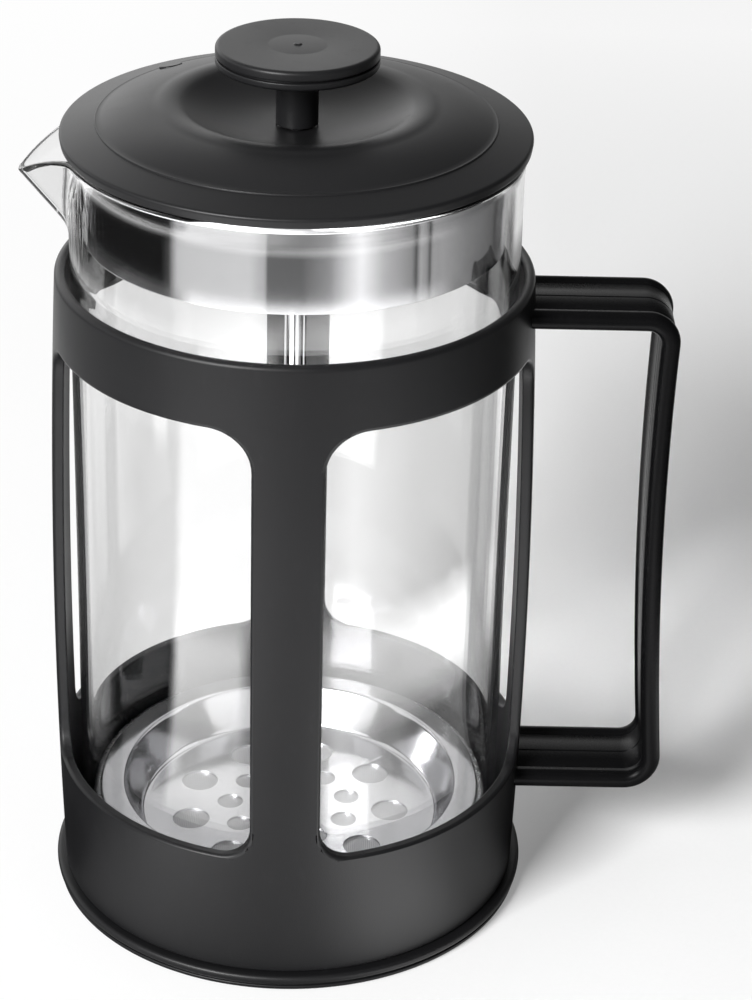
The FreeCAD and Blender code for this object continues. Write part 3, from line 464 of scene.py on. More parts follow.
class Wiring:
    """Builds one node material."""

    def __init__(self, name: str) -> None:
        """Starts an empty material.

        Args:
            name: Name of the material.
        """
        self.material = bpy.data.materials.new(name)
        self.material.use_nodes = True
        self.tree = self.material.node_tree
        self.tree.nodes.clear()

    @classmethod
    def on(cls, tree: bpy.types.NodeTree) -> "Wiring":
        """Starts on another tree, such as the world's, emptied first.

        Args:
            tree: The tree to build in.

        Returns:
            The wiring, which has no material of its own.
        """
        wiring = cls.__new__(cls)
        wiring.tree = tree
        tree.nodes.clear()
        return wiring

    def node(self, kind: str, settings: dict[str, object] | None = None, **sockets: object) -> bpy.types.Node:
        """Adds a node.

        Args:
            kind: The node's type, without its ShaderNode prefix.
            settings: Attributes set before the sockets, such as an operation.
            **sockets: Values or links, by socket name with underscores for spaces.

        Returns:
            The new node.
        """
        made = self.tree.nodes.new(f"ShaderNode{kind}")
        for name, value in (settings or {}).items():
            if name == "stops":
                self._stops(made, value)
            else:
                setattr(made, name, value)
        for name, value in sockets.items():
            self.plug(made, name.replace("_", " "), value)
        return made

    @staticmethod
    def _stops(ramp: bpy.types.Node, stops: list[Point]) -> None:
        """Sets a ramp's stops.

        Args:
            ramp: The colour ramp.
            stops: Place and grey value of each stop.
        """
        elements = ramp.color_ramp.elements
        while len(elements) < len(stops):
            elements.new(0.5)
        for element, (place, grey) in zip(elements, stops):
            element.position = place
            element.color = (grey, grey, grey, 1)

    def plug(self, node: bpy.types.Node, name: str, value: object) -> None:
        """Sets or links one enabled input of a node."""
        feed(self.tree, next(s for s in node.inputs if s.name == name and s.enabled), value)

    def part(self, node: bpy.types.Node, output: str) -> Wire:
        """One output of a node, to do maths with."""
        return Wire(self.tree, node.outputs[output])

    def spot(self, scale: Corner = (1, 1, 1)) -> bpy.types.NodeSocket:
        """Object coordinates in metres, stretched by a scale on each axis."""
        place = self.node("TexCoord").outputs["Object"]
        return self.node("Mapping", Vector=place, Scale=scale).outputs["Vector"]

    def axes(self) -> tuple[Wire, Wire, Wire]:
        """Object coordinates in metres, as x, y and z."""
        place = self.node("SeparateXYZ", Vector=self.spot())
        return self.part(place, "X"), self.part(place, "Y"), self.part(place, "Z")

    def noise(self, per_metre: float, detail: float = 2, stretch: Corner = (1, 1, 1)) -> Wire:
        """Soft noise with about that many lumps to the metre."""
        made = self.node("TexNoise", Vector=self.spot(stretch), Scale=per_metre, Detail=detail, Roughness=0.55)
        return self.part(made, "Fac")

    def ramp(self, value: Wire, *stops: Point) -> Wire:
        """Bends a value through grey stops."""
        return self.part(self.node("ValToRGB", {"stops": list(stops)}, Fac=value), "Color")

    def blend(self, factor: Wire, first: Colour, second: Colour) -> bpy.types.NodeSocket:
        """Mixes two colours by a factor."""
        made = self.node("Mix", {"data_type": "RGBA"}, Factor=factor, A=first, B=second)
        return next(s for s in made.outputs if s.type == "RGBA")

    def bump(self, height: Wire, depth_mm: float, under: bpy.types.NodeSocket | None = None) -> bpy.types.NodeSocket:
        """A bump of a real depth.

        Args:
            height: The relief, from 0 to 1.
            depth_mm: Its depth in millimetres.
            under: Another bump that this one lies on.

        Returns:
            The bumped normal.
        """
        made = self.node("Bump", Height=height, Strength=1.0, Distance=depth_mm * MM)
        if under is not None:
            self.plug(made, "Normal", under)
        return made.outputs["Normal"]

    def mixed(self, factor: Wire, first: bpy.types.Node, second: bpy.types.Node) -> bpy.types.Node:
        """Mixes two shaders.

        Args:
            factor: 0 for the first and 1 for the second.
            first: The first shader.
            second: The second shader.

        Returns:
            The mixed shader.
        """
        made = self.node("MixShader", Fac=factor)
        for shader, socket in zip((first, second), (made.inputs[1], made.inputs[2])):
            self.tree.links.new(shader.outputs[0], socket)
        return made

    def eyed(self) -> Wire:
        """1 where the eye looks straight or through glass, and 0 on every other path."""
        path = self.node("LightPath")
        return (self.part(path, "Is Camera Ray") + self.part(path, "Is Transmission Ray")).least(1.0)

    def surface(self, shader: bpy.types.Node) -> bpy.types.Material:
        """Ends the material in a shader.

        Args:
            shader: The finished shader.

        Returns:
            The material.
        """
        end = self.node("OutputMaterial")
        self.tree.links.new(shader.outputs[0], end.inputs["Surface"])
        return self.material


@dataclass(frozen=True)
class SatinMoulding:
    """Dark moulded plastic with a fine spark-eroded texture."""

    name: str
    colour: Colour
    rubbed: Colour
    roughness: float
    grain_per_metre: float
    grain_depth_mm: float
    gloss: float
    cloud_per_metre: float = 38
    cloud_depth_mm: float = 0.03
    rub_per_metre: float = 420
    ior: float = 1.32

    def material(self) -> bpy.types.Material:
        """Builds the material.

        Returns:
            The material.
        """
        w = Wiring(self.name)
        cloud = w.noise(self.cloud_per_metre, 3)
        grain = w.noise(self.grain_per_metre)
        rub = w.ramp(w.noise(self.rub_per_metre, 4, (1, 1, 0.35)), (0.60, 0.0), (0.78, 1.0))
        shader = w.node(
            "BsdfPrincipled",
            Base_Color=w.blend(rub * 0.35 + cloud * 0.3, self.colour, self.rubbed),
            Roughness=cloud * 0.10 + grain * 0.08 + rub * 0.04 + (self.roughness - 0.11),
            Normal=w.bump(grain, self.grain_depth_mm, w.bump(cloud, self.cloud_depth_mm)),
            IOR=self.ior,
            Specular_IOR_Level=self.gloss,
        )
        return w.surface(shader)


@dataclass(frozen=True)
class BlownGlass:
    """Clear borosilicate glass with faint waves and a trace of film on it."""

    name: str = "blown_glass"
    tint: Colour = (0.933, 0.933, 0.933)
    shadow_tint: Colour = (0.935, 0.935, 0.935)
    ior: float = 1.47
    wave_per_metre: float = 24
    wave_depth_mm: float = 0.008
    film_per_metre: float = 60
    film_roughness: float = 0.015

    def material(self) -> bpy.types.Material:
        """Builds the material, which shadows pass through almost clear.

        Returns:
            The material.
        """
        w = Wiring(self.name)
        wave = w.noise(self.wave_per_metre, 1, (1, 1, 0.25))
        film = w.ramp(w.noise(self.film_per_metre, 4), (0.45, 0.0), (0.75, 1.0))
        glass = w.node(
            "BsdfPrincipled",
            Base_Color=self.tint,
            Roughness=film * self.film_roughness,
            Normal=w.bump(wave, self.wave_depth_mm),
            IOR=self.ior,
            Transmission_Weight=1.0,
        )
        clear = w.node("BsdfTransparent", Color=self.shadow_tint)
        return w.surface(w.mixed(w.part(w.node("LightPath"), "Is Shadow Ray"), glass, clear))


@dataclass(frozen=True)
class Metal:
    """Bare metal, from mirror bright to drawn wire."""

    name: str
    colour: Colour
    tarnish: Colour
    roughness: float
    smear: float
    ripple_mm: float
    haze_per_metre: float = 55
    lines_per_metre: float = 900
    ripple_per_metre: float = 30

    def material(self) -> bpy.types.Material:
        """Builds the material.

        Returns:
            The material.
        """
        w = Wiring(self.name)
        haze = w.noise(self.haze_per_metre, 4)
        lines = w.noise(self.lines_per_metre, 2, (1, 1, 0.06))
        shader = w.node(
            "BsdfPrincipled",
            Base_Color=w.blend(w.ramp(haze, (0.35, 0.0), (0.8, 1.0)), self.colour, self.tarnish),
            Metallic=1.0,
            Roughness=haze * self.smear + lines * (self.smear * 0.5) + self.roughness,
            Normal=w.bump(w.noise(self.ripple_per_metre, 1) + lines * 0.05, self.ripple_mm),
        )
        return w.surface(shader)


@dataclass(frozen=True)
class WireCloth:
    """Fine woven wire: bumps of crossing wires on bright steel, with painted shade in the hollows between them."""

    name: str = "wire_cloth"
    hollow: Colour = (0.34, 0.34, 0.345)
    crossing: Colour = (0.62, 0.62, 0.63)
    roughness: float = 0.46
    polish: float = 0.10
    depth_mm: float = 0.03
    wires_per_metre: float = 2200.0
    band_length: float = FULL_TURN / 20

    def material(self) -> bpy.types.Material:
        """Builds the material.

        Returns:
            The material.
        """
        w = Wiring(self.name)
        place = w.spot()
        warp, weft = (
            w.part(w.node("TexWave", {"wave_type": "BANDS", "bands_direction": axis}, Vector=place,
                          Scale=self.wires_per_metre * self.band_length), "Fac")
            for axis in "XY")
        # Painted shade: the hollows between crossing wires take the darker colour.
        cross = warp * weft
        shader = w.node(
            "BsdfPrincipled",
            Base_Color=w.blend(cross, self.hollow, self.crossing),
            Metallic=1.0,
            Roughness=self.roughness - cross * self.polish,
            Normal=w.bump(cross, self.depth_mm),
        )
        return w.surface(shader)


class Finishes:
    """Every finish on the press, each built once."""

    def __init__(self) -> None:
        """Builds the materials."""
        self.cage = SatinMoulding(
            "cage_satin", (0.006, 0.006, 0.0065), (0.013, 0.013, 0.014),
            roughness=0.42, grain_per_metre=3600, grain_depth_mm=0.024, gloss=0.46).material()
        self.grip = SatinMoulding(
            "grip_satin", (0.0025, 0.0025, 0.0027), (0.005, 0.005, 0.0054),
            roughness=0.30, grain_per_metre=4200, grain_depth_mm=0.006, gloss=0.09).material()
        self.lid = SatinMoulding(
            "lid_satin", (0.007, 0.007, 0.0075), (0.012, 0.012, 0.013),
            roughness=0.42, grain_per_metre=5200, grain_depth_mm=0.006, gloss=0.48).material()
        self.glass = BlownGlass().material()
        self.mirror = Metal(
            "mirror_steel", (0.80, 0.80, 0.81), (0.72, 0.72, 0.74),
            roughness=0.02, smear=0.03, ripple_mm=0.006).material()
        self.stamped = Metal(
            "stamped_steel", (0.60, 0.60, 0.61), (0.52, 0.52, 0.54),
            roughness=0.08, smear=0.05, ripple_mm=0.006).material()
        self.wire = Metal(
            "drawn_wire", (0.66, 0.66, 0.67), (0.52, 0.52, 0.54),
            roughness=0.20, smear=0.10, ripple_mm=0.01).material()
        self.cloth = WireCloth().material()
        self.brass = Metal(
            "turned_brass", (0.72, 0.53, 0.24), (0.58, 0.42, 0.20),
            roughness=0.24, smear=0.14, ripple_mm=0.02).material()


def settle(piece: bpy.types.Object, body: Body, slot: Slot, finish: bpy.types.Material, *nodes: str) -> None:
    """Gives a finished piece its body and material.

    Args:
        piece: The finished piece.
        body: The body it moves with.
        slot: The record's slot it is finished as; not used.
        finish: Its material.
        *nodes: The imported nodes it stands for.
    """
    piece.data.materials.clear()
    piece.data.materials.append(finish)
    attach(piece, body.value)
    if nodes:
        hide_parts(*nodes)
    log.info("%s: %d faces on %s", piece.name, len(piece.data.polygons), body.value)


# --- cage, base and handle --------------------------------------------------


@dataclass
class Barrel:
    """The bowed outside of the cage, in millimetres."""

    top_radius: float = 53.4
    foot_radius: float = 54.4
    bulge: float = 1.65
    top: float = 157.4
    bottom: float = 3.9
    wall: float = 2.6
    bow_steps: int = 80

    def side(self, inset: float, low: float, high: float, steps: int = 40) -> list[Point]:
        """Points up the bowed side between two heights.

        Args:
            inset: How far the points are set in from the outside.
            low: Height of the first point.
            high: Height of the last point.
            steps: Straight runs between them.

        Returns:
            The points, from low to high.
        """
        start = (self.foot_radius - inset, self.bottom)
        end = (self.top_radius - inset, self.top)
        line = [start, *bowed(start, end, -self.bulge, self.bow_steps), end]
        heights = np.linspace(low, high, steps + 1)
        radii = np.interp(heights, [p[1] for p in line], [p[0] for p in line])
        return list(zip(radii.tolist(), heights.tolist()))


@dataclass
class Cage:
    """One moulding: ring, uprights and base band, with four rounded windows."""

    barrel: Barrel = field(default_factory=Barrel)
    ring_bottom: float = 141.8
    sill_top: float = 35.2
    upright_width: float = 15.7
    window_top_round: float = 9.5
    window_sill_round: float = 7.0
    window_reach: float = 70.0
    round_steps: int = 14
    edge_round: float = 0.9
    inner_edge_round: float = 0.405
    sharp_angle: float = math.radians(35)
    top_round: float = 1.3
    foot_rise: float = 0.5
    foot_chamfer: float = 0.4
    windows: int = 4

    def build(self, finishes: Finishes) -> None:
        """Builds and dresses the cage.

        Args:
            finishes: Every finish on the press.
        """
        b = self.barrel
        low, high = b.bottom + self.foot_rise, b.top - self.top_round
        outer, inner = b.side(0, low, high), b.side(b.wall, low, high)
        top = eased([(*outer[-1], 0), (b.top_radius, b.top, self.top_round * 0.98),
                     (b.top_radius - b.wall, b.top, self.top_round * 0.95), (*inner[-1], 0)], 7)[1:-1]
        foot = [(inner[0][0] + self.foot_chamfer, b.bottom), (outer[0][0] - self.foot_chamfer, b.bottom)]
        piece = Bench.turned("cage_shell", foot + outer + top + inner[::-1], 288)
        for turn in range(self.windows):
            Bench.cut(piece, self._window(turn))
        Bench.tidy(piece)
        self._ease_windows(piece)
        Bench.tidy(piece, 38)
        settle(piece, Body.FRAME, Slot.FRAME_PLASTIC, finishes.cage, "cage")

    def _window(self, turn: int) -> bpy.types.Object:
        """The block that one window takes out of the barrel.

        Args:
            turn: Which window, counted round the barrel.

        Returns:
            The block.
        """
        near, far = self.upright_width / 2, self.window_reach
        low, high = self.sill_top, self.ring_bottom
        middle = (near + far) / 2 * MM
        Bench.clear()
        bpy.ops.mesh.primitive_cube_add(size=MM)
        block = bpy.context.object
        bpy.ops.object.mode_set(mode="EDIT")
        bpy.ops.transform.resize(value=(far - near, far - near, high - low))
        bpy.ops.transform.translate(value=(middle, middle, (high + low) / 2 * MM))
        for height, rounding in ((high, self.window_top_round), (low, self.window_sill_round)):
            Bench.choose_edges(block, lambda spot, along, height=height: (
                abs(spot.z - height) < 1 and (abs(spot.x - near) < 1 or abs(spot.y - near) < 1)))
            bpy.ops.mesh.bevel(offset=rounding * MM, segments=self.round_steps, affect="EDGES")
        bpy.ops.mesh.select_all(action="SELECT")
        quarter = FULL_TURN / self.windows
        bpy.ops.transform.rotate(value=-turn * quarter, orient_axis="Z", center_override=(0, 0, 0))
        Bench.clear()
        return block

    def _ease_windows(self, piece: bpy.types.Object) -> None:
        """Rounds the outer and, more finely, the inner edges of the windows.

        Args:
            piece: The cage, with its windows cut.
        """
        b = self.barrel
        side = b.side(0, b.bottom, b.top, b.bow_steps)
        for inset, rounding in ((0.0, self.edge_round), (b.wall, self.inner_edge_round)):
            marks = self._rim_edges(piece, side, inset)
            Bench.pick(piece)
            Bench.mark_edges(piece, marks)
            bpy.ops.mesh.bevel(offset=rounding * MM, segments=3, affect="EDGES", clamp_overlap=False,
                               loop_slide=False)
            bpy.ops.object.mode_set(mode="OBJECT")

    def _rim_edges(self, piece: bpy.types.Object, side: list[Point], inset: float) -> list[int]:
        """Finds the sharp edges of the windows on one face of the barrel wall.

        Args:
            piece: The cage, with its windows cut.
            side: Radius and height of points up the outside.
            inset: How far the wall's face is set in from the outside.

        Returns:
            The numbers of the edges.
        """
        mesh = piece.data
        radii, heights = zip(*side)
        spots = [vertex.co / MM for vertex in mesh.vertices]
        normals: dict[tuple[int, int], list[Vector]] = {}
        for face in mesh.polygons:
            for key in face.edge_keys:
                normals.setdefault(key, []).append(face.normal)
        found = []
        for edge in mesh.edges:
            first, last = (spots[index] for index in edge.vertices)
            middle = (first + last) / 2
            if not self.sill_top - 1 < middle.z < self.ring_bottom + 1:
                continue
            expected = float(np.interp(middle.z, heights, radii)) - inset
            sides = normals.get(edge.key, [])
            sharp = len(sides) == 2 and sides[0].angle(sides[1]) > self.sharp_angle
            if sharp and abs(math.hypot(middle.x, middle.y) - expected) < 0.5:
                found.append(edge.index)
        return found


@dataclass
class Base:
    """The tray with the rolled rim flange that the press stands on."""

    flange_radius: float = 56.58
    flange_height: float = 3.9
    lip_radius: float = 56.0
    lip_height: float = 1.2
    groove: float = 0.55
    spigot_radius: float = 51.7
    spigot_wall: float = 1.2
    spigot_top: float = 11.5
    floor: float = 2.4
    seat_inner: float = 32.0
    seat_outer: float = 36.0
    seat: float = 5.0

    def build(self, finishes: Finishes) -> None:
        """Builds and dresses the tray.

        Args:
            finishes: Every finish on the press.
        """
        neck = self.lip_radius - self.groove
        under = self.lip_height + self.groove
        rolled = (self.flange_height - under) / 2 * 0.9
        inside = self.spigot_radius - self.spigot_wall
        shape: list[Corner] = [
            (0, 0, 0), (neck, 0, 0.35), (self.lip_radius, 0.4, 0.3), (self.lip_radius, self.lip_height, 0.3),
            (neck, self.lip_height, 0.1), (neck, under, 0.1),
            (self.flange_radius, under, rolled), (self.flange_radius, self.flange_height, rolled),
            (self.spigot_radius, self.flange_height, 0.1), (self.spigot_radius, self.spigot_top, 0.3),
            (inside, self.spigot_top, 0.3), (inside, self.floor, 0.6),
            (self.seat_outer, self.floor, 0.4), (self.seat_outer, self.seat, 0.4),
            (self.seat_inner, self.seat, 0.4), (self.seat_inner, self.floor, 0.4), (0, self.floor, 0),
        ]
        piece = Bench.turned("base_tray", eased(shape, 5), 224, closed=False)
        settle(piece, Body.FRAME, Slot.FRAME_PLASTIC, finishes.cage, "base")


@dataclass
class Handle:
    """A beaded band bent into a loop: bar, bend, hollow grip, bend and bar."""

    width: float = 23.1
    bead: float = 2.2
    web: float = 3.3
    seam: float = 0.32
    top: float = 149.6
    foot: float = 29.4
    top_reach: float = 83.7
    foot_reach: float = 86.3
    top_bend: float = 5.3
    foot_bend: float = 6.3
    grip_radius: float = 880.0
    top_root: float = 53.35
    top_tongue: float = 1.2
    foot_root: float = 54.9
    foot_tongue: float = 1.0
    notch_depth: float = 0.18
    notch_half: float = 0.25
    notch_inset: float = 0.7
    bend_steps: int = 14
    grip_steps: int = 36

    def section(self) -> list[Vector]:
        """The band's section across the upper bar, as seen along the bar.

        Returns:
            The section's corners, at the bar's inner end.
        """
        half = self.width / 2 - self.bead
        web = self.web / 2
        inset = math.sqrt(self.bead ** 2 - web ** 2)
        corner = half - inset
        right = [(corner, -web), *bowed((corner, -web), (corner, web), -(self.bead + inset), 18), (corner, web)]
        valley = corner - self.notch_inset
        notch = [(valley + self.notch_half, web), (valley, web - self.notch_depth), (valley - self.notch_half, web)]
        middle = [(self.seam, web), (0.0, web - self.seam), (-self.seam, web)]
        upper = notch + middle + [(-y, z) for y, z in notch[::-1]]
        left = [(-y, -z) for y, z in right]
        lower = [(-y, -z) for y, z in upper]
        start = self.top_root - self.top_tongue
        return [Vector((start, y, self.top + z)) for y, z in right + upper + left + lower]

    def build(self, finishes: Finishes) -> None:
        """Extrudes and spins the section round the loop, then dresses it.

        Args:
            finishes: Every finish on the press.
        """
        upper = Vector((self.top_reach - self.top_bend, self.top - self.top_bend))
        lower = Vector((self.foot_reach - self.foot_bend, self.foot + self.foot_bend))
        between = lower - upper
        near, far = self.grip_radius + self.top_bend, self.grip_radius + self.foot_bend
        along = (near ** 2 - far ** 2 + between.length ** 2) / (2 * between.length)
        aside = math.sqrt(near ** 2 - along ** 2)
        step = between.normalized()
        pivot = upper + step * along + Vector((-step.y, step.x)) * aside
        lean_top = math.atan2(pivot.y - upper.y, pivot.x - upper.x)
        lean_foot = math.atan2(pivot.y - lower.y, pivot.x - lower.x)
        piece = Bench.trace("handle_loop", self.section(), closed=True)
        Bench.pull(upper.x - self.top_root + self.top_tongue, 0, 0)
        self._bend(upper, math.pi / 2 - lean_top, self.bend_steps)
        self._bend(pivot, lean_top - lean_foot, self.grip_steps)
        self._bend(lower, math.pi / 2 + lean_foot, self.bend_steps)
        Bench.pull(self.foot_root - self.foot_tongue - lower.x, 0, 0)
        self._cap(piece)
        Bench.tidy(piece, 36)
        settle(piece, Body.FRAME, Slot.FRAME_PLASTIC, finishes.grip, "handle")

    @staticmethod
    def _bend(centre: Vector, angle: float, steps: int) -> None:
        """Spins the selected section about a level axis through the centre."""
        bpy.ops.mesh.spin(steps=steps, angle=angle, center=(centre.x * MM, 0, centre.y * MM), axis=(0, -1, 0))

    def _cap(self, piece: bpy.types.Object) -> None:
        """Closes both ends inside the cage wall.

        Args:
            piece: The loop, open at its ends.
        """
        for place in (self.top_root - self.top_tongue, self.foot_root - self.foot_tongue):
            Bench.choose_edges(piece, lambda spot, along, place=place: (
                abs(spot.x - place) < 0.01 and abs(along.x) < 0.01))
            bpy.ops.mesh.edge_face_add()


# --- beaker -----------------------------------------------------------------


@dataclass
class Beaker:
    """The blown drum with its drawn lip."""

    radius: float = 50.0
    wall: float = 2.0
    bottom: float = 5.3
    floor: float = 7.9
    rim: float = 187.1
    corner: float = 12.0
    inner_corner: float = 10.0
    flare: float = 1.0
    flare_height: float = 11.0
    flare_power: float = 4.0
    lip_root: float = 164.8
    lip_slope: float = 0.825
    lip_half_angle: float = math.radians(38)
    lip_sink: float = 0.8
    lip_wall: float = 2.4
    lip_nose: float = 3.0
    inner_nose: float = 1.2
    lip_valley: float = 3.2
    spread: float = 0.62
    dip: float = 7.5
    dip_radius: float = 23.7
    dip_start: float = 6.0
    settling: int = 14
    settling_step: float = 0.6
    crease: float = 0.08
    crease_turn: float = 0.34
    crease_width: float = 0.13
    crease_rise: float = 7.0
    crease_height: float = 6.0
    creases: float = 120
    plain_height: float = 60.0
    rim_rise: float = 1.2
    rim_round: float = 0.95
    rim_swell: float = 0.05
    steps: int = 400

    def build(self, finishes: Finishes) -> None:
        """Spins the drum, draws the lip out of it and dresses it.

        Args:
            finishes: Every finish on the press.
        """
        plain, inside = self.plain_height, self.radius - self.wall
        heights = [*np.linspace(plain, self.lip_root - 8, 6).tolist(),
                   *np.linspace(self.lip_root - 5, self.rim - self.rim_rise, 34).tolist()]
        outer = [(self.radius + self._flare(z), z) for z in heights]
        inner = [(inside + self._flare(z) * 0.9, z) for z in heights]
        rim = eased([
            (*outer[-1], 0), (outer[-1][0] + self.rim_swell, self.rim, self.rim_round),
            (inner[-1][0] - self.rim_swell, self.rim, self.rim_round), (*inner[-1], 0)], 6)[1:-1]
        shape = eased([
            (0, self.bottom, 0), (self.radius, self.bottom, self.corner), (self.radius, plain, 0)], 14)[:-1]
        hollow = eased([(inside, plain, 0), (inside, self.floor, self.inner_corner), (0, self.floor, 0)], 14)[1:]
        outline = shape + outer + rim + inner[::-1] + hollow
        piece = Bench.turned("beaker_glass", outline, self.steps, closed=False)
        self._draw_lip(piece)
        Bench.tidy(piece, 60)
        settle(piece, Body.GLASS, Slot.BEAKER_GLASS, finishes.glass, "beaker")

    def _flare(self, height: float) -> float:
        """How far the wall has opened at a height."""
        share = max(0.0, (height - (self.rim - self.flare_height)) / self.flare_height)
        return self.flare * share ** self.flare_power

    def _reach(self, turn: float, height: float, drum: float, inner: float) -> float:
        """Radius of the lip's wedge, blended into the drum.

        Args:
            turn: Angle from the lip's middle, in radians.
            height: Height in millimetres.
            drum: Radius of the drum there.
            inner: 0 on the outside of the wall and 1 on its inside.

        Returns:
            The radius in millimetres.
        """
        if abs(turn) > 1.0:
            return drum
        nose = self.lip_nose + (self.inner_nose - self.lip_nose) * inner
        apex = self.radius - self.lip_sink - self.lip_wall * inner + (height - self.lip_root) * self.lip_slope
        spread = math.sin(self.lip_half_angle)
        centre = apex - nose
        soft = math.sqrt(turn * turn + 1e-9)
        side = (centre * spread + nose) / math.sin(soft + self.lip_half_angle)
        across = centre * math.sin(soft)
        round_end = centre * math.cos(soft) + math.sqrt(max(nose * nose - across * across, 0.0))
        tangent = math.atan2(nose * math.cos(self.lip_half_angle), centre + nose * spread)
        wedge = round_end if soft < tangent else side
        valley = self.lip_valley
        gap = max(valley - abs(wedge - drum), 0.0) / valley
        return max(wedge, drum) + gap * gap * gap * valley / 6 + self._flute(soft, height, inner)

    def _flute(self, turn: float, height: float, inner: float) -> float:
        """The fine creases that drawing leaves where the lip's flank runs into the drum.

        Args:
            turn: Angle from the lip's middle, in radians.
            height: Height in millimetres.
            inner: 0 on the outside of the wall and 1 on its inside.

        Returns:
            How far the creases stand out.
        """
        along = (turn - self.crease_turn) / self.crease_width
        up = (height - self.lip_root - self.crease_rise) / self.crease_height
        return (1 - inner) * self.crease * math.cos(turn * self.creases) * math.exp(-along * along - up * up)

    def _draw_lip(self, piece: bpy.types.Object) -> None:
        """Moves the wall out into the lip and sags the rim along it.

        Args:
            piece: The spun drum.
        """
        for vertex in piece.data.vertices:
            spot = vertex.co / MM
            radius = math.hypot(spot.x, spot.y)
            if spot.z < self.lip_root - self.dip_start or radius < self.radius - 2 * self.wall:
                continue
            turn = math.atan2(spot.y, -spot.x)
            turn *= 1 - self.spread * math.exp(-(turn / self.spread) ** 2)
            drum_out = self.radius + self._flare(spot.z)
            inner = min(max((drum_out - radius) / self.wall, 0.0), 1.0)
            height, reach = self._settled(turn, spot.z, radius, inner)
            vertex.co = Vector((-reach * math.cos(turn), reach * math.sin(turn), height)) * MM

    def _settled(self, turn: float, start: float, drum: float, inner: float) -> tuple[float, float]:
        """Finds where a point of the wall lies once the rim has sagged.

        Args:
            turn: Angle from the lip's middle, in radians.
            start: The point's height before.
            drum: Radius of the drum there.
            inner: 0 on the outside of the wall and 1 on its inside.

        Returns:
            The point's height and radius.
        """
        foot = self.lip_root - self.dip_start
        share = (start - foot) / (self.rim - foot)
        tip = self.radius - self.lip_sink + (self.rim - self.dip - self.lip_root) * self.lip_slope
        run = math.sqrt(2 * self.dip_radius * self.dip - self.dip ** 2)
        top = self.rim
        for _ in range(self.settling):
            out = self._reach(turn, top, self.radius + self.flare, 0.0) * math.cos(turn)
            past = min(max(out - (tip - run), 0.0), run)
            sag = self.dip_radius - math.sqrt(self.dip_radius ** 2 - past ** 2)
            top += (self.rim - sag - top) * self.settling_step
        height = foot + share * (top - foot)
        return height, self._reach(turn, height, drum, inner)


# --- lid --------------------------------------------------------------------


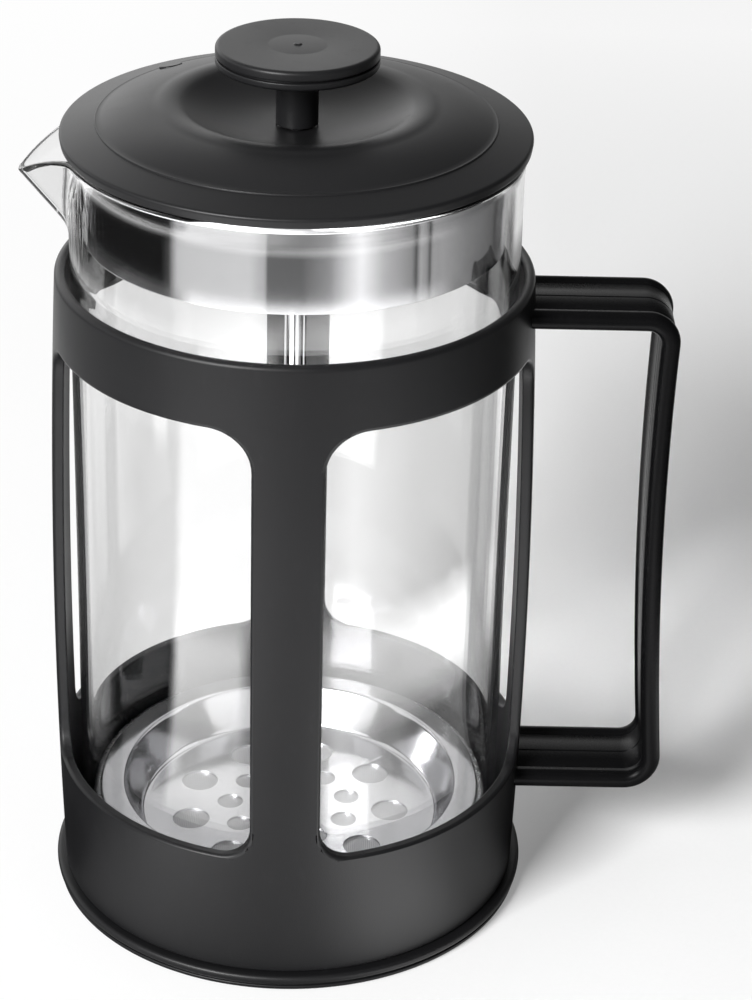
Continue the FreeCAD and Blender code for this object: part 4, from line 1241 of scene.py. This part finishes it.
@dataclass
class Lid:
    """Moulded cap, steel liner and rod bush."""

    radius: float = 51.7
    base: float = 187.4
    edge_top: float = 189.6
    ring_radius: float = 43.5
    ring_height: float = 191.65
    ring_step: float = 0.35
    crest_radius: float = 28.2
    crest: float = 196.0
    centre_radius: float = 7.0
    centre: float = 190.7
    bush_radius: float = 4.6
    pip_radius: float = 2.65
    pip_circle: float = 40.4
    pip_angle: float = math.radians(136)
    pip_top: float = 193.6
    liner_radius: float = 46.3
    liner_wall: float = 0.6
    liner_foot: float = 166.4
    bush_bore: float = 2.31
    head_radius: float = 8.5
    head_height: float = 2.4
    boss_radius: float = 10.5
    shell: float = 2.3
    pip_sink: float = 2.0
    pip_lean: float = math.radians(14)

    def build(self, finishes: Finishes) -> None:
        """Builds and dresses the lid's pieces.

        Args:
            finishes: Every finish on the press.
        """
        cap = Bench.turned("lid_shell", self._cap_outline(), 256)
        cap = Bench.joined("lid_shell", [cap, self._pip()])
        Bench.tidy(cap, 30)
        settle(cap, Body.LID, Slot.LID_PLASTIC, finishes.lid, "lid_cap")
        settle(self._liner(), Body.LID, Slot.POLISHED_STEEL, finishes.mirror, "lid_liner")
        settle(self._bush(), Body.LID, Slot.LID_PLASTIC, finishes.lid, "lid_bush")

    def _cap_outline(self) -> list[Point]:
        """The cap's section, over the top from the bush to the edge and back beneath.

        Returns:
            The section's points.
        """
        ring_top = self.ring_height + self.ring_step
        ring_in = (self.ring_radius - 0.3, ring_top)
        crest_in = (self.crest_radius - 3.0, self.crest - 0.5)
        crest_out = (self.crest_radius + 2.6, self.crest - 0.4)
        middle = (self.centre_radius, self.centre)
        dish = [middle, *bowed(middle, crest_in, -1.25, 18), crest_in]
        crest = bowed(crest_in, crest_out, 0.45, 8)
        shoulder = [crest_out, *bowed(crest_out, ring_in, 0.5, 14)]
        edge = eased([
            (*ring_in, 0), (self.ring_radius + 0.35, ring_top, 0.22),
            (self.ring_radius + 0.4, self.ring_height, 0.1), (self.radius - 0.05, self.edge_top, 0.7),
            (self.radius - 0.4, self.base, 0.35), (self.ring_radius - self.shell, self.base, 0)], 5)
        under = [(self.ring_radius - self.shell, ring_top - self.shell),
                 (self.crest_radius - self.shell, self.crest - self.shell), (self.boss_radius, self.base)]
        bore = [(self.bush_radius, self.base), (self.bush_radius, self.centre)]
        return bore + dish + crest + shoulder + edge + under

    def _pip(self) -> bpy.types.Object:
        """The low round pip on the shoulder, leaning with it.

        Returns:
            The pip in its place.
        """
        pip = Bench.turned("pip", eased([
            (0, -self.pip_sink, 0), (self.pip_radius, -self.pip_sink, 0), (self.pip_radius, 0, 0.3), (0, 0, 0)], 5),
            64, closed=False)
        Bench.pick(pip)
        lean = Matrix.Rotation(self.pip_angle, 4, "Z") @ Matrix.Rotation(self.pip_lean, 4, "Y")
        place = Vector((self.pip_circle * math.cos(self.pip_angle), self.pip_circle * math.sin(self.pip_angle),
                        self.pip_top)) * MM
        pip.matrix_world = Matrix.Translation(place) @ lean
        bpy.ops.object.transform_apply(location=True, rotation=True, scale=True)
        return pip

    def _liner(self) -> bpy.types.Object:
        """The drawn cup with its plain skirt."""
        r, t, top, foot = self.liner_radius, self.liner_wall, self.base, self.liner_foot
        return Bench.turned("liner_cup", eased([
            (self.bush_radius, top, 0), (r, top, 2.2), (r, foot, 0.15), (r - t, foot, 0.15), (r - t, top - t, 1.6),
            (self.bush_radius, top - t, 0)], 6), 256)

    def _bush(self) -> bpy.types.Object:
        """The headed bush that the rod slides in.

        Returns:
            The bush.
        """
        top, head = self.centre - 0.5, self.base - self.liner_wall
        foot = head - self.head_height
        return Bench.turned("rod_bush", eased([
            (self.bush_bore, top, 0), (self.bush_radius, top, 0.2), (self.bush_radius, head, 0.0),
            (self.head_radius, head, 0.3), (self.head_radius, foot, 0.5), (self.bush_bore, foot, 0)], 4), 96)


# --- plunger ----------------------------------------------------------------


@dataclass
class Knob:
    """Two discs on a neck, with the brass sleeve inside."""

    radius: float = 17.8
    foot: float = 191.0
    base: float = 204.4
    joint: float = 206.15
    cap_base: float = 206.6
    top: float = 208.8
    neck_radius: float = 4.65
    neck_flare: float = 2.0
    rod_radius: float = 2.25
    insert_radius: float = 3.3
    insert_top: float = 199.0
    rod_top: float = 201.0
    peg_radius: float = 9.0
    peg_depth: float = 0.8
    groove_depth: float = 0.8
    ring_radius: float = 6.4
    ring_half: float = 0.3
    ring_depth: float = 0.025
    pip_radius: float = 1.0
    pip_height: float = 0.25
    cap_round: float = 0.85

    def build(self, finishes: Finishes) -> None:
        """Builds and dresses the knob's pieces.

        Args:
            finishes: Every finish on the press.
        """
        settle(self._neck(), Body.PLUNGER, Slot.LID_PLASTIC, finishes.lid, "knob")
        settle(self._disc(), Body.PLUNGER, Slot.LID_PLASTIC, finishes.lid, "knob_cap")
        settle(self._sleeve(), Body.PLUNGER, Slot.INSERT_BRASS, finishes.brass, "knob_insert")

    def _neck(self) -> bpy.types.Object:
        """The neck and lower plate, bored for the sleeve and the rod.

        Returns:
            The moulding.
        """
        peg = self.joint - self.peg_depth
        outside = eased([
            (self.insert_radius, self.foot, 0), (self.neck_radius, self.foot, 0.25),
            (self.neck_radius, self.base, self.neck_flare), (self.radius, self.base, 0.75),
            (self.radius, self.joint, 0.3), (self.peg_radius, self.joint, 0), (self.peg_radius, peg, 0), (0, peg, 0),
        ], 6)
        bore = [(0, self.rod_top), (self.rod_radius, self.rod_top), (self.rod_radius, self.insert_top),
                (self.insert_radius, self.insert_top)]
        return Bench.turned("knob_neck", outside + bore, 160)

    def _disc(self) -> bpy.types.Object:
        """The upper disc, with a peg beneath, a fine turned ring and a pip on top.

        Returns:
            The disc.
        """
        peg, groove = self.joint - self.peg_depth, self.radius - self.groove_depth
        pip_top = self.top + self.pip_height
        under = eased([
            (0, peg, 0), (self.peg_radius, peg, 0), (self.peg_radius, self.joint, 0), (groove, self.joint, 0),
            (groove, self.cap_base, 0), (self.radius, self.cap_base, 0.3), (self.radius, self.top, self.cap_round),
        ], 6)[:-1]
        ring = [(self.ring_radius + side * self.ring_half, self.top - depth, 0)
                for side, depth in ((1, 0.0), (0, self.ring_depth), (-1, 0.0))]
        over = eased([
            (self.radius, self.top - 1.2, 0), (self.radius, self.top, self.cap_round), *ring,
            (self.pip_radius, self.top, 0.1), (self.pip_radius - 0.4, pip_top, 0.1), (0, pip_top, 0)], 6)[1:]
        return Bench.turned("knob_disc", under + over, 160, closed=False)

    def _sleeve(self) -> bpy.types.Object:
        """The brass sleeve."""
        return Bench.turned("knob_sleeve", eased([
            (self.rod_radius, self.foot, 0), (self.insert_radius, self.foot, 0.15),
            (self.insert_radius, self.insert_top, 0.15), (self.rod_radius, self.insert_top, 0)], 3), 64)


@dataclass
class Filter:
    """Rod, cover plate, spring, cloth, cross plate and nut."""

    rod_radius: float = 2.25
    tip_radius: float = 1.95
    rod_top: float = 201.0
    hub_under: float = 8.35
    hub_top: float = 12.55
    pan_top: float = 14.5
    ledge: float = 24.0
    sheet: float = 0.6
    plate_radius: float = 45.8
    ledge_radius: float = 40.1
    pan_radius: float = 35.7
    spring_circle: float = 46.3
    spring_height: float = 22.0
    spring_radius: float = 1.4
    wire_radius: float = 0.2
    spring_turns: int = 320
    turn_steps: int = 8
    cloth_radius: float = 46.9
    cloth_thickness: float = 0.35
    collar_radius: float = 4.5
    collar_height: float = 3.0
    hole_rings: tuple[Corner, ...] = ((4.45, 24.5, -4.0), (3.1, 14.5, 16.0))
    holes: int = 9
    cross_radius: float = 33.5
    cross_thickness: float = 1.0
    cross_hub: float = 8.25
    cross_ring: float = 29.0
    spoke_width: float = 7.0
    spoke_blank: float = 50.0
    nut_radius: float = 6.0
    clear: float = 3.0

    def build(self, finishes: Finishes) -> None:
        """Builds and dresses everything below the knob.

        Args:
            finishes: Every finish on the press.
        """
        for piece, slot, finish, node in (
                (self._rod(), Slot.POLISHED_STEEL, finishes.mirror, "plunger_rod"),
                (self._collar(), Slot.POLISHED_STEEL, finishes.mirror, "rod_collar"),
                (self._plate(), Slot.POLISHED_STEEL, finishes.stamped, "filter_plate"),
                (self._spring(), Slot.WIRE_STEEL, finishes.wire, "filter_coil"),
                (self._cloth(), Slot.WIRE_STEEL, finishes.cloth, "mesh_screen"),
                (self._cross(), Slot.WIRE_STEEL, finishes.wire, "cross_plate"),
                (self._nut(), Slot.WIRE_STEEL, finishes.wire, "hub_nut")):
            settle(piece, Body.PLUNGER, slot, finish, node)

    def _rod(self) -> bpy.types.Object:
        """The rod with its thinner, chamfered tip."""
        return Bench.turned("rod", eased([
            (0, self.hub_under, 0), (self.tip_radius, self.hub_under, 0.3), (self.tip_radius, self.pan_top, 0),
            (self.rod_radius, self.pan_top, 0.1), (self.rod_radius, self.rod_top, 0.2), (0, self.rod_top, 0)], 4),
            64, closed=False)

    def _collar(self) -> bpy.types.Object:
        """The turned collar over the plate."""
        low, high, wide = self.pan_top, self.pan_top + self.collar_height, self.collar_radius
        return Bench.turned("collar", eased([
            (self.rod_radius, low, 0), (wide, low, 0.2), (wide, high, 0.5), (self.rod_radius, high, 0)], 4), 96)

    def _plate(self) -> bpy.types.Object:
        """The dished cover plate, pressed and pierced, with a flat rim.

        Returns:
            The plate.
        """
        t = self.sheet
        plate = Bench.turned("cover_plate", eased([
            (self.tip_radius, self.pan_top, 0), (self.pan_radius, self.pan_top, 1.4),
            (self.ledge_radius, self.ledge, 1.0), (self.plate_radius, self.ledge, 0.5),
            (self.plate_radius, self.ledge - t, 0.1), (self.ledge_radius + 0.35, self.ledge - t, 0.7),
            (self.pan_radius + 0.35, self.pan_top - t, 1.6), (self.tip_radius, self.pan_top - t, 0)], 6), 224)
        punches = []
        for size, circle, first in self.hole_rings:
            for index in range(self.holes):
                turn = math.radians(first + 360 / self.holes * index)
                punch = Bench.disc("punch", size, self.pan_top - self.clear, self.pan_top + self.clear, 64)
                punch.location.x = circle * math.cos(turn) * MM
                punch.location.y = circle * math.sin(turn) * MM
                punches.append(punch)
        Bench.cut(plate, Bench.joined("punches", punches))
        Bench.soften(plate, 0.12, 2, 50)
        Bench.tidy(plate, 30)
        return plate

    def _spring(self) -> bpy.types.Object:
        """A fine wire wound in small turns and bent round in a ring.

        Returns:
            The spring.
        """
        steps = self.spring_turns * self.turn_steps
        curve = bpy.data.curves.new("edge_spring", "CURVE")
        curve.dimensions = "3D"
        curve.bevel_depth = self.wire_radius * MM
        curve.bevel_resolution = 1
        spline = curve.splines.new("POLY")
        spline.points.add(steps - 1)
        coil = self.spring_radius - self.wire_radius
        for index in range(steps):
            around = FULL_TURN * index / steps
            wind = around * self.spring_turns
            reach = self.spring_circle + coil * math.cos(wind)
            height = self.spring_height + coil * math.sin(wind)
            spline.points[index].co = (reach * math.cos(around) * MM, reach * math.sin(around) * MM, height * MM, 1)
        spline.use_cyclic_u = True
        spring = bpy.data.objects.new("edge_spring", curve)
        bpy.context.scene.collection.objects.link(spring)
        Bench.pick(spring)
        bpy.ops.object.convert(target="MESH")
        bpy.ops.object.shade_smooth()
        return bpy.context.object

    def _cloth(self) -> bpy.types.Object:
        """The wire cloth, dished with the plate and turned out under the spring.

        Returns:
            The cloth.
        """
        top, edge, t = self.pan_top - self.sheet, self.spring_height - self.spring_radius, self.cloth_thickness
        slope = (self.ledge_radius - self.pan_radius) / (self.ledge - self.pan_top)
        foot = self.pan_radius + 0.38
        bend = foot + (edge - top) * slope
        return Bench.turned("wire_screen", eased([
            (self.tip_radius, top, 0), (foot, top, 1.0), (bend, edge, 0.6), (self.cloth_radius, edge, 0.1),
            (self.cloth_radius, edge - t, 0.1), (bend + 0.2, edge - t, 0.8),
            (foot + 0.25, top - t, 1.2), (self.tip_radius, top - t, 0)], 5), 192)

    def _cross(self) -> bpy.types.Object:
        """The stamped ring with four spokes.

        Returns:
            The cross plate.
        """
        low, high = self.hub_top, self.hub_top + self.cross_thickness
        plate = self._washer("spoked_ring", self.tip_radius, self.cross_radius, low, high)
        gap = self._washer("gap", self.cross_hub, self.cross_ring, low - 2, high + 2)
        slim = self.spoke_width / (2 * self.spoke_blank * math.cos(math.pi / 4))
        for along_x, along_y in ((1, slim), (slim, 1)):
            spoke = Bench.disc("spoke", self.spoke_blank, low - self.clear, high + self.clear, 4)
            bpy.ops.object.mode_set(mode="EDIT")
            bpy.ops.mesh.select_all(action="SELECT")
            bpy.ops.transform.rotate(value=math.pi / 4, orient_axis="Z", center_override=(0, 0, 0))
            bpy.ops.transform.resize(value=(along_x, along_y, 1), center_override=(0, 0, 0))
            Bench.cut(gap, spoke)
        Bench.cut(plate, gap)
        Bench.soften(plate, 0.15, 2, 50)
        Bench.tidy(plate, 30)
        return plate

    @staticmethod
    def _washer(name: str, inner: float, outer: float, low: float, high: float) -> bpy.types.Object:
        """A flat ring from an inner to an outer radius and from a low to a high level."""
        return Bench.turned(name, [(inner, low), (outer, low), (outer, high), (inner, high)], 160)

    def _nut(self) -> bpy.types.Object:
        """The hexagonal nut, its corners dressed.

        Returns:
            The nut.
        """
        nut = Bench.disc("tip_nut", self.nut_radius, self.hub_under, self.hub_top, 6)
        nut.rotation_euler.z = math.radians(30)
        Bench.cut(nut, Bench.disc("thread", self.tip_radius, self.hub_under - 1, self.hub_top + 1, 48))
        Bench.soften(nut, 0.35, 3, 40)
        Bench.tidy(nut, 30)
        return nut


# --- studio -----------------------------------------------------------------


# The distance in metres that the end of a ring's ramp stands for.
FLOOR_REACH = 6.0


@dataclass(frozen=True)
class Zone:
    """A ring of the floor round the press, painted with light and dark patches that show only in reflections.

    Its stops give each painted patch's brightness by its bearing in degrees, from the front towards the handle.
    """

    near_mm: float
    far_mm: float
    glow: float
    stops: tuple[Point, ...]
    blur: float = 0.035

    def within(self, w: Wiring, away: Wire) -> Wire:
        """1 inside the ring and 0 outside it."""
        edges = [edge * MM * (1 + side * self.blur) / FLOOR_REACH
                 for edge in (self.near_mm, self.far_mm) for side in (-1, 1)]
        return w.ramp(away / FLOOR_REACH, *zip(edges, (0.0, 1.0, 1.0, 0.0)))


# Painted reflections: the three middle rings share their patches on the far left, and two of them those behind.
LEFT = ((-180, 0.06), (-140, 0.15), (-108, 0.06), (-92, 0.0), (-57, 0.0))
BEHIND = ((134, 0.2), (180, 0.05))
ZONES = (
    Zone(0, 51, 5.5, (
        (-180, 0), (-80, 0), (-40, 0.28), (-24, 0.26), (-6, 0.20), (10, 0.28), (30, 0.85), (44, 0.70),
        (62, 0.20), (90, 0.0), (180, 0))),
    Zone(51, 115, 9.0, (
        *LEFT, (-53, 0.45), (-24, 0.40), (-18, 0.2), (10, 0.1), (16, 0.5), (24, 0.55), (44, 0.25),
        (60, 0.12), (96, 0.05), (116, 0.0), (134, 0.15), (180, 0.05))),
    Zone(115, 159, 9.0, (
        *LEFT, (-53, 0.90), (-24, 0.85), (-18, 0.2), (10, 0.1), (16, 0.5), (24, 0.76), (44, 0.80),
        (60, 0.72), (96, 0.50), (101, 0.0), *BEHIND)),
    Zone(159, 287, 9.0, (
        *LEFT, (-53, 0.40), (-24, 0.42), (-18, 0.42), (8, 0.14), (20, 0.10), (30, 0.30), (44, 0.15),
        (60, 0.04), (100, 0.0), (116, 0.0), *BEHIND)),
    Zone(287, 325, 6.0, (
        (-180, 0.1), (-110, 0.45), (-80, 0.95), (-56, 0.95), (-30, 0.35), (-10, 0.2), (10, 0.12),
        (60, 0.02), (180, 0.05))),
    Zone(323, 359, 8.0, (
        (-180, 0.02), (-60, 0.02), (-52, 0.25), (-22, 0.35), (-17, 0.42), (21, 0.42), (30, 0.35),
        (60, 0.25), (90, 0.02), (180, 0.02)), 0.015),
    Zone(359, 475, 1.5, (
        (-180, 0.53), (-144, 0.53), (-138, 0.008), (-66, 0.008), (-61, 0.52), (-22, 0.58), (-14, 0.40),
        (-13.4, 0.027), (-12.6, 0.125), (4, 0.12), (18, 0.27), (34, 0.90), (46, 0.46), (62, 0.24),
        (65, 0.02), (67, 0.40), (71, 0.28), (73, 0.02), (75, 0.33), (100, 0.18), (124, 0.10),
        (128, 0.013), (138, 0.013), (144, 0.53), (180, 0.53))),
    Zone(475, 5900, 1.0, (
        (-180, 0.80), (-140, 0.75), (-120, 0.20), (-80, 0.15), (-60, 0.55), (-10, 0.70), (0, 0.30),
        (12, 0.35), (34, 0.85), (70, 0.50), (90, 0.15), (130, 0.20), (150, 0.75), (180, 0.80)), 0.015),
)


@dataclass
class Studio:
    """Pale floor, soft lamps and the camera. Lengths are in millimetres."""

    eye: Corner = (10.8, -616.7, 425.1)
    pitch: float = 0.48684
    heading: float = 0.01376
    roll: float = 0.02614
    focal_mm: float = 108.5
    film_mm: float = 36
    drum: float = 50
    paper_dark: Colour = (0.88, 0.88, 0.88)
    paper_light: Colour = (0.91, 0.91, 0.91)
    paper_roughness: float = 0.85
    fibres_per_metre: float = 900
    fibre_mm: float = 0.02
    eye_level: float = 0.92
    fill_level: float = 0.08
    # Brightness of the painted reflection of a panel, seen only by gloss.
    painted_panel_glow: float = 2.4

    def build(self) -> None:
        """Sets up floor, lamps, world and camera."""
        self._view()
        self._floor()
        self._world()
        self._lamp("key_softbox", (-1700, -2350, 1680), (0, 0, 60), (1260, 1260), 208.0)
        self._lamp("top_softbox", (0, 160, 1200), (0, 160, 0), (1200, 1200), 1.8)
        self._camera()

    @staticmethod
    def _view() -> None:
        """Plain colour handling."""
        bpy.context.scene.view_settings.view_transform = "Standard"

    def _floor(self) -> None:
        """A wide pale sheet under the press, on which reflections see painted bright and dark patches instead of the
        paper.
        """
        Bench.clear()
        bpy.ops.mesh.primitive_plane_add(size=8, location=(0, 0, 0))
        floor = bpy.context.object
        floor.name = "floor_sheet"
        w = Wiring("paper_and_painted_reflections")
        fibre = w.noise(self.fibres_per_metre, 3)
        paper = w.node("BsdfPrincipled", Base_Color=w.blend(fibre, self.paper_dark, self.paper_light),
                       Roughness=self.paper_roughness, Normal=w.bump(fibre, self.fibre_mm))
        # Painted reflections: glow on the floor that only reflected paths see.
        painted_reflections = w.node("Emission", Color=self._painted_reflection_tones(w), Strength=1.0)
        white = w.node("Emission", Color=(1, 1, 1), Strength=1.0)
        # Painted light: the floor is mixed toward plain white for the eye, unevenly by place.
        lifted = w.mixed(w.eyed() * self._lift(w), paper, white)
        mirrored = w.part(w.node("LightPath"), "Glossy Depth").least(1.0)
        floor.data.materials.append(w.surface(w.mixed(mirrored, lifted, painted_reflections)))

    @staticmethod
    def _lift(w: Wiring) -> Wire:
        """Painted light on the floor: how much of it shows as plain white, most on the left and far back, least in
        the shadow.

        Args:
            w: The floor's wiring.

        Returns:
            0 for bare paper and 1 for plain white.
        """
        x, y, _ = w.axes()
        left = w.ramp(x + 0.5, (0.40, 0.85), (0.46, 0.70), (0.54, 0.35), (0.59, 0.0))
        back = w.ramp(y, (0.30, 0.0), (0.62, 0.75))
        return left + back * (1.0 - left)

    def _painted_reflection_tones(self, w: Wiring) -> Wire:
        """How bright the painted reflections on the floor are, by bearing and by distance from the press.

        Args:
            w: The floor's wiring.

        Returns:
            The brightness, where 1 is white paper.
        """
        x, y, _ = w.axes()
        bearing = x.bearing(y * -1.0) + 0.5
        away = (x * x + y * y) ** 0.5 - self.drum * MM
        total = Wire(w.tree, 0.0)
        for zone in ZONES:
            tone = w.ramp(bearing, *[(turn / 360 + 0.5, tone) for turn, tone in zone.stops])
            total = total + tone * zone.within(w, away) * zone.glow
        return total

    def _world(self) -> None:
        """A dim surround: white to the eye and through glass, and behind, a painted reflection of a soft panel that
        only gloss sees.
        """
        world = bpy.data.worlds.new("surround")
        world.use_nodes = True
        w = Wiring.on(world.node_tree)
        x, y, z = w.axes()
        across = w.ramp(x.bearing(y) + 0.5, (0.0, 0.30), (0.25, 0.36), (0.36, 0.70), (0.45, 0.95),
                        (0.50, 0.62), (0.53, 0.24), (0.58, 0.06), (0.70, 0.02), (0.84, 0.04), (1.0, 0.30))
        # Painted reflection: a soft panel's glow that shows only to glossy rays.
        painted_panel = across * w.ramp(z, (0.0, 0.7), (0.12, 1.0), (0.42, 0.9), (0.72, 0.10))
        white = w.eyed()
        gloss = w.part(w.node("LightPath"), "Is Glossy Ray") * (1.0 - white)
        level = white * self.eye_level + gloss * painted_panel * self.painted_panel_glow + self.fill_level
        back = w.node("Background", Color=(1, 1, 1), Strength=level)
        w.tree.links.new(back.outputs[0], w.node("OutputWorld").inputs["Surface"])
        bpy.context.scene.world = world

    @staticmethod
    def _lamp(name: str, place: Corner, aim: Corner, size: Point, watts: float) -> None:
        """Hangs a rectangular soft lamp.

        Args:
            name: Name of the lamp.
            place: Where it hangs.
            aim: The point it faces.
            size: Its width and height.
            watts: Its power.
        """
        data = bpy.data.lights.new(name, "AREA")
        data.shape = "RECTANGLE"
        data.size, data.size_y = size[0] * MM, size[1] * MM
        data.energy = watts
        lamp = bpy.data.objects.new(name, data)
        lamp.location = Vector(place) * MM
        lamp.rotation_euler = (Vector(aim) - Vector(place)).to_track_quat("-Z", "Y").to_euler()
        bpy.context.scene.collection.objects.link(lamp)

    def _camera(self) -> None:
        """The camera that looks down on the press from the front."""
        data = bpy.data.cameras.new("camera")
        data.sensor_width = self.film_mm
        data.sensor_fit = "AUTO"
        data.lens = self.focal_mm
        data.clip_start = 0.01
        camera = bpy.data.objects.new("camera", data)
        level = Vector((math.sin(self.heading), math.cos(self.heading), 0))
        ahead = level * math.cos(self.pitch) - Vector((0, 0, 1)) * math.sin(self.pitch)
        side = ahead.cross(Vector((0, 0, 1))).normalized()
        up = side.cross(ahead)
        right = side * math.cos(self.roll) + up * math.sin(self.roll)
        up = right.cross(ahead)
        turn = Matrix((right, up, -ahead)).transposed().to_4x4()
        camera.matrix_world = Matrix.Translation(Vector(self.eye) * MM) @ turn
        bpy.context.scene.collection.objects.link(camera)
        bpy.context.scene.camera = camera


def main() -> None:
    """Builds the press and its studio."""
    logging.basicConfig(level=logging.INFO, format="%(name)s %(message)s")
    Studio().build()
    finishes = Finishes()
    for assembly in (Cage(), Base(), Handle(), Beaker(), Lid(), Knob(), Filter()):
        assembly.build(finishes)


if __name__ == "__main__":
    main()
